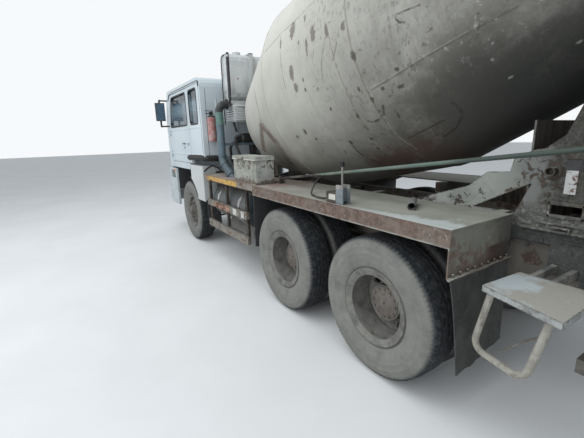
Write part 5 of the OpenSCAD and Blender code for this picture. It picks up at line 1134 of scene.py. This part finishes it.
def toolbox_dress():
    """Folded rim, latch and staple of the lid, and the feet of the box."""
    x0, x1, y1, z0, z1 = 1820, 2440, 1200, 1275, 1595
    rim = Shape().box((x0 - 12, x1 + 12), (y1 + 10, y1 + 16), (z1 - 44, z1 - 34))
    rim.box((x0 - 16, x0 - 11), (966, y1 + 12), (z1 - 44, z1 - 34))
    rim.make("lid_rim", "box_paint", "box_paint", "toolbox_lid", bevel=0.002)
    latch = Shape().box((2118, 2162), (y1 + 11, y1 + 17), (z1 - 40, z1 - 8))
    latch.tube(path(1, (2124, y1 + 18, z1 - 24), (2124, y1 + 26, z1 - 50), (2140, y1 + 28, z1 - 58),
                    (2156, y1 + 26, z1 - 50), (2156, y1 + 18, z1 - 24)), 0.0035, 8)
    latch.make("lid_latch", "roller_steel", "box_paint", "toolbox_lid", bevel=0.001)
    staple = Shape().box((2114, 2166), (y1, y1 + 4), (z1 - 120, z1 - 62))
    staple.tube(path(1, (2130, y1 + 3, z1 - 78), (2130, y1 + 20, z1 - 80), (2140, y1 + 25, z1 - 80),
                     (2150, y1 + 20, z1 - 80), (2150, y1 + 3, z1 - 78)), 0.004, 8)
    for x in (2122, 2158):
        staple.bolt(place(x, y1 + 4, z1 - 108), (0, 1, 0), 0.006, 0.004)
    staple.make("box_staple", "roller_steel", "box_paint", bevel=0.001)
    feet = Shape()
    for x in (x0 + 30, x1 - 70):
        feet.box((x, x + 40), (y1, y1 + 20), (z0, z0 + 5))
        feet.bolt(place(x + 20, y1 + 12, z0 + 5), (0, 0, 1), 0.007, 0.006)
    feet.make("box_feet", "box_paint", "box_paint", bevel=0.001)


fuel_tank_dress()
toolbox_dress()


# ---------------------------------------------------------------- cab
CAB_FRONT, CAB_BACK, CAB_Y = 5830, 3540, 1200
DOOR_WINDOW = ((4290, 2040), (4290, 2560), (5210, 2560), (5370, 2100), (5370, 2040))
QUARTER = ((3720, 2040), (3720, 2560), (4120, 2560), (4120, 2040))
LENS = ((0.001, 0.01), (0.02, 0.0095), (0.04, 0.007), (0.051, 0.003), (0.051, 0.0))


def loop_frame(points, r, n=8):
    """A closed rubber section along points given in metres."""
    s, k = Shape(), len(points)
    for i, p in enumerate(points):
        d = (points[(i + 1) % k] - points[i - 1]).normalized()
        side = d.cross(Vector((0, 1, 0)))
        if side.length < 0.2:
            side = d.cross(Vector((1, 0, 0)))
        side.normalize()
        other = d.cross(side)
        s.v += [p + side * c * r + other * q * r * 0.7 for c, q in circle(n)]
    s.f = band_faces(k, n, True)
    return s


def bend(points, i, r, steps=5):
    """The rounded corner i of a closed outline of 2-D points."""
    p, a, b = Vector(points[i]), Vector(points[i - 1]), Vector(points[(i + 1) % len(points)])
    u, w = (a - p).normalized(), (b - p).normalized()
    cut = min(r, (a - p).length * 0.45, (b - p).length * 0.45)
    return [(p + u * cut) * (1 - f) ** 2 + p * 2 * f * (1 - f) + (p + w * cut) * f * f
            for f in (t / steps for t in range(steps + 1))]


def rounded(points, r):
    return [q for i in range(len(points)) for q in bend(points, i, r)]


def cab_side(side, tag):
    door = "door_" + tag
    openings = (("door", DOOR_WINDOW, door), ("quarter", QUARTER, "cab"))
    for name, outline, body in openings:
        ring = path(side, *((x, CAB_Y - 1, z) for x, z in rounded(outline, 60)))
        loop_frame(ring, 0.013).make(f"{name}_seal_{tag}", "trim", "trim", body)
    # Corner fillets inside the window openings, so that the glass has round corners
    for name, outline, body in openings:
        f = Shape()
        for i, corner in enumerate(outline):
            curve = path(side, *((x, CAB_Y - 12, z) for x, z in (corner, *bend(outline, i, 60))))
            f.slab(curve, (0, -0.01, 0), (0, 0.01, 0))
        f.make(f"{name}_corner_{tag}", "trim", "trim", body)
    bar = Shape().box((4296, 5360), flank(side, 1184, 1196), (2044, 2056))
    bar.make("door_sill_trim_" + tag, "trim", "trim", door, bevel=0.002)
    handle = Shape().tube(path(side, (4500, 1196, 1741), (4508, 1214, 1741), (4530, 1220, 1741), (4620, 1220, 1740),
                               (4640, 1213, 1740), (4646, 1196, 1740)), 0.0095, 10)
    handle.lathe([(0.001, 0.01), (0.012, 0.01), (0.014, 0.007), (0.014, 0.0)], 24,
                 spin((0, side, 0), place(4560, side * 1199, 1670)), closed=False)
    handle.make("door_handle_" + tag, "roller_steel", "trim", door)
    # Pressed swages along the door and the rear side panel
    for name, x0, x1, body in (("door", 4214, 5466, door), ("side", 3560, 4186, "cab")):
        w = Shape()
        for z in (1985, 1560):
            w.slab(path(side, (x0, CAB_Y, z - 16), (x0, CAB_Y, z + 16), (x0, CAB_Y + 5, z + 5), (x0, CAB_Y + 5, z - 5)),
                   (0, 0, 0), ((x1 - x0) / 1000, 0, 0))
        w.make(f"{name}_swage_{tag}", "cab_paint", "cab_paint", body, angle=60)
    # Rubber band under the rear corner with its bellow down to the intake, and the rain gutter
    band = path(side, (4367, 1186, 1505), (4250, 1190, 1512), (4000, 1190, 1520), (3700, 1190, 1523),
                (3585, 1184, 1520), (3545, 1150, 1516), (3540, 1020, 1510), (3540, 930, 1502), (3540, 869, 1429),
                (3540, 811, 1298))
    Shape().tube(band, 0.046, 12).make("cab_band_" + tag, "black_band", "trim", "cab")
    gutter = path(side, (3570, 1206, 2560), (3576, 1208, 2632), (3610, 1208, 2640), (5100, 1208, 2640),
                  (5300, 1206, 2620), (5400, 1200, 2540))
    Shape().tube(gutter, 0.009, 8).make("rain_gutter_" + tag, "trim", "trim", "cab")
    # Indicator on the corner of the step fairing, step treads, fender rim and grab bow
    base = Shape().box((5262, 5400), flank(side, 1219, 1226), (1216, 1262))
    base.make("indicator_base_" + tag, "bumper_paint", "bumper_paint", bevel=0.004)
    lens = Shape().box((5270, 5392), flank(side, 1225, 1232), (1221, 1257))
    lens.make("indicator_" + tag, "amber", "lamp", bevel=0.005, segments=3)
    tread = Shape()
    for z in (1054, 1082):
        tread.box((5350, 5620), flank(side, 1120, 1200), (z, z + 4))
        for i in range(8):
            tread.box((5356 + i * 34, 5372 + i * 34), flank(side, 1124, 1196), (z + 4, z + 7))
    tread.make("step_treads_" + tag, "roller_steel", "step_steel", bevel=0.001)
    arc = [math.radians(90 + 60 * i / 20) for i in range(6, 21)]
    arc = path(side, *((FRONT_AXLE_X + 664 * math.cos(a), 1206, WHEEL_Z + 664 * math.sin(a)) for a in arc))
    Shape().tube(arc, 0.01, 8).make("fender_rim_" + tag, "trim", "bumper_paint")
    bow = path(side, (3652, 1192, 1310), (3652, 1150, 1352), (3652, 1055, 1395), (3652, 960, 1352), (3652, 904, 1289))
    Shape().tube(bow, 0.011, 10).make("fender_bow_" + tag, "trim", "bumper_paint")


def cab_back_and_front():
    """Ribs and seams of the rear wall, hatch and screen seals, wipers."""
    wall, corner, wiper = Shape(), Shape(), Shape()
    for y in (-960, -640, -320, 0, 320, 640, 960):
        x = CAB_BACK - (12 if abs(y) < 850 else 0)
        wall.slab(path(1, (x, y - 15, 1740), (x - 7, y - 5, 1748), (x - 7, y + 5, 1748), (x, y + 15, 1740)),
                  (0, 0, 0), (0, 0, 0.64))
    wall.make("rear_wall_ribs", "cab_paint", "cab_paint", "cab", angle=60)
    for side in (1, -1):
        corner.box((CAB_BACK - 3, CAB_BACK + 1), flank(side, 1120, 1124), (1560, 2540))
        corner.box((3590, 3594), flank(side, 1200, 1203), (1560, 2600))
    corner.make("rear_corner_seams", "trim", "trim", "cab")
    hatch = rounded(((4340, -300), (4340, 300), (4890, 300), (4890, -300)), 40)
    loop_frame(path(1, *((x, y, 2702) for x, y in hatch)), 0.01).make("hatch_seal", "trim", "trim", "cab")
    screen = [(CAB_FRONT - (8 if z < 2100 else 8 + (z - 2100) * 0.62), y, z)
              for y, z in ((-1040, 1985), (1040, 1985), (1020, 2530), (-1020, 2530))]
    loop_frame(path(1, *screen), 0.016).make("screen_seal", "trim", "trim", "cab")
    for y in (-560, 380):
        wiper.tube(path(1, (5836, y, 1940), (5838, y + 60, 2010), (5815, y + 330, 2130)), 0.007, 8)
        wiper.tube(path(1, (5823, y + 60, 2050), (5808, y + 460, 2150)), 0.005, 6)
        wiper.lathe([(0.001, 0.022), (0.012, 0.022), (0.015, 0.015), (0.015, 0.0)], 20,
                    spin((1, 0, 0), place(5822, y, 1940)), closed=False)
    wiper.make("wipers", "trim", "trim", "cab")


def front_lamps(side, tag):
    lenses, ring = Shape(), Shape()
    for y in (835, 965):
        ring.lathe([(0.05, 0.004), (0.059, 0.008), (0.061, 0.003), (0.061, -0.004), (0.05, -0.004)], 40,
                   spin((1, 0, 0), place(5912, side * y, 720)))
        lenses.lathe(LENS, 40, spin((1, 0, 0), place(5911, side * y, 720)), closed=False)
    ring.make("lamp_rings_" + tag, "bright_steel", "lamp")
    lenses.make("lamp_lenses_" + tag, "lamp", "lamp")


def mirror(side, tag):
    """Head with a rounded back and a framed glass that looks backwards, on its bent arm."""
    head = Shape().box((5482, 5526), flank(side, 1260, 1430), (2168, 2502))
    head.make("mirror_head_" + tag, "mirror_shell", "mirror_shell", "cab", bevel=0.018, segments=4)
    glass = Shape().box((5478, 5483), flank(side, 1272, 1418), (2182, 2488))
    glass.make("mirror_glass_" + tag, "mirror_glass", "glass", "cab", bevel=0.002)
    arm = Shape().tube(path(side, (5504, 1198, 2540), (5504, 1345, 2542), (5504, 1352, 2530), (5504, 1352, 2060),
                            (5504, 1340, 2068), (5504, 1198, 2070)), 0.0145, 10)
    for z in (2440, 2220):
        arm.lathe([(0.014, -0.016), (0.024, -0.016), (0.024, 0.016), (0.014, 0.016)], 20,
                  spin((0, 0, 1), place(5504, side * 1348, z)))
    arm.make("mirror_arm_" + tag, "trim", "mirror_shell", "cab")


for pair in SIDES:
    cab_side(*pair)
cab_back_and_front()
for dress in (front_lamps, mirror):
    for pair in SIDES:
        dress(*pair)


# ---------------------------------------------------------------- behind the cab
def water_tank_dress():
    """Bands and pipes of the water tank, louvres of the cooler."""
    bands, pipe, louvre = Shape(), Shape(), Shape()
    for y in (-541, 541):
        bands.box((3128, 3482), (y - 32, y + 32), (2966, 2982))
        bands.box((3128, 3134), (y - 32, y + 32), (2330, 2980))
        bands.box((3476, 3482), (y - 32, y + 32), (2330, 2980))
    bands.make("tank_bands", "water_tank_paint", "tank_steel", bevel=0.002)
    pipe.tube(path(1, (3180, 882, 2350), (3180, 882, 2900), (3185, 880, 2945), (3205, 870, 2962), (3235, 850, 2968)),
              0.02, 12)
    pipe.tube(path(1, (3420, 875, 2010), (3418, 880, 2100), (3415, 882, 2300), (3412, 882, 2900), (3400, 880, 2945),
                   (3370, 872, 2965), (3320, 850, 2975)), 0.0085, 8)
    pipe.tube(path(1, (3180, 882, 2352), (3182, 884, 2310), (3230, 890, 2290), (3330, 880, 2292), (3400, 840, 2270),
                   (3420, 780, 2200), (3425, 740, 2050), (3420, 700, 1900)), 0.016, 10)
    pipe.make("tank_pipes", "trim", "tank_steel")
    for z in range(2054, 2247, 32):
        louvre.slab(path(1, (3124, 850, z), (3124, 872, z + 4), (3124, 872, z + 8), (3124, 850, z + 24)), (0, 0, 0),
                    (0.262, 0, 0))
        louvre.slab(path(1, (3120, 640, z), (3098, 640, z + 4), (3098, 640, z + 8), (3120, 640, z + 24)), (0, 0, 0),
                    (0, 0.19, 0))
    louvre.make("cooler_louvres", "fender_paint", "tank_steel", angle=60)


def hose_pump():
    """Pump, its drive and the hoses below the cooler."""
    pump = Shape().lathe([(0.001, -0.1), (0.075, -0.1), (0.085, -0.08), (0.085, 0.06), (0.06, 0.08), (0.06, 0.14),
                          (0.035, 0.15), (0.001, 0.15)], 32, spin((0, 1, 0), place(3250, 640, 1790)), closed=False)
    pump.box((3200, 3300), (500, 560), (1560, 1900))
    pump.box((3190, 3310), (426, 560), (1540, 1560))
    pump.box((3180, 3320), (340, 430), (1150, 1560))
    for x, y, z, dx in ((3200, 760, 1820, -120), (3290, 780, 1740, 60)):
        pump.tube(path(1, (x, y, z), (x, y + 60, z - 10), (x + dx * 0.3, y + 90, z - 80),
                       (x + dx, y + 60, z - 260), (x + dx, y - 60, z - 470)), 0.022, 10)
    pump.make("hose_pump", "dark", "engine_paint")


water_tank_dress()
hose_pump()

# ---------------------------------------------------------------- stage, light and camera
scene = bpy.context.scene
scene.world = bpy.data.worlds.new("sky")
scene.world.use_nodes = True
nodes, links = scene.world.node_tree.nodes, scene.world.node_tree.links
nodes.clear()
out, mixer, rays, soft, white, near, seen = (nodes.new("ShaderNode" + kind) for kind in (
    "OutputWorld", "MixShader", "LightPath", "Background", "Background", "Math", "Math"))
soft.inputs[0].default_value, soft.inputs[1].default_value = (0.86, 0.93, 1.0, 1.0), 0.62
white.inputs[0].default_value, white.inputs[1].default_value = (0.93, 0.95, 0.97, 1.0), 1.0
near.operation = seen.operation = "MAXIMUM"
for a, b in ((rays.outputs["Is Camera Ray"], near.inputs[0]), (rays.outputs["Is Glossy Ray"], near.inputs[1]),
             (near.outputs[0], seen.inputs[0]), (rays.outputs["Is Transmission Ray"], seen.inputs[1]),
             (seen.outputs[0], mixer.inputs[0]), (soft.outputs[0], mixer.inputs[1]),
             (white.outputs[0], mixer.inputs[2]), (mixer.outputs[0], out.inputs[0])):
    links.new(a, b)


def lamp(name, at, target, size, power, color):
    data = bpy.data.lights.new(name, "AREA")
    data.energy, data.size, data.color = power, size, color
    o = bpy.data.objects.new(name, data)
    o.location = at
    o.rotation_mode = "QUATERNION"
    o.rotation_quaternion = (Vector(target) - Vector(at)).to_track_quat("-Z", "Y")
    scene.collection.objects.link(o)


lamp("sky_soft", (1.0, 4.5, 9.0), (0, 0, 1.2), 9.0, 620, (0.93, 0.97, 1.0))
lamp("left_fill", (-3.0, 9.0, 4.0), (0, 0, 1.3), 7.0, 300, (0.95, 0.98, 1.0))

ground = Shader("floor")
ground.color = ground.tone(ground.noise(0.8, 4), 0.3, 0.7, (0.66, 0.66, 0.65), (0.7, 0.7, 0.69))
ground.done(0.9)
mesh = bpy.data.meshes.new("floor")
mesh.from_pydata([(-60, -60, 0), (60, -60, 0), (60, 60, 0), (-60, 60, 0)], [], [(0, 1, 2, 3)])
mesh.materials.append(M["floor"])
plane = bpy.data.objects.new("floor", mesh)
scene.collection.objects.link(plane)

# The truck seen from its rear left
YAW, PITCH, ROLL = 0.561, 0.232, -0.028
FOCAL_PX, IMAGE_WIDTH_PX, SENSOR_MM = 344.8, 584, 36.0
EYE = (-1.679 - MIDDLE_X / 1000, 2.94, 1.792)
f = Vector((math.cos(YAW) * math.cos(PITCH), -math.sin(YAW) * math.cos(PITCH), -math.sin(PITCH)))
level = f.cross(Vector((0, 0, 1))).normalized()
upright = level.cross(f)
r = level * math.cos(ROLL) + upright * math.sin(ROLL)
u = upright * math.cos(ROLL) - level * math.sin(ROLL)
data = bpy.data.cameras.new("camera")
data.sensor_width, data.lens = SENSOR_MM, FOCAL_PX / IMAGE_WIDTH_PX * SENSOR_MM
data.clip_start, data.clip_end = 0.05, 200
camera = bpy.data.objects.new("camera", data)
camera.matrix_world = Matrix((*((r[i], u[i], -f[i], EYE[i]) for i in range(3)), (0, 0, 0, 1)))
scene.collection.objects.link(camera)
scene.camera = camera
scene.view_settings.view_transform = "Standard"
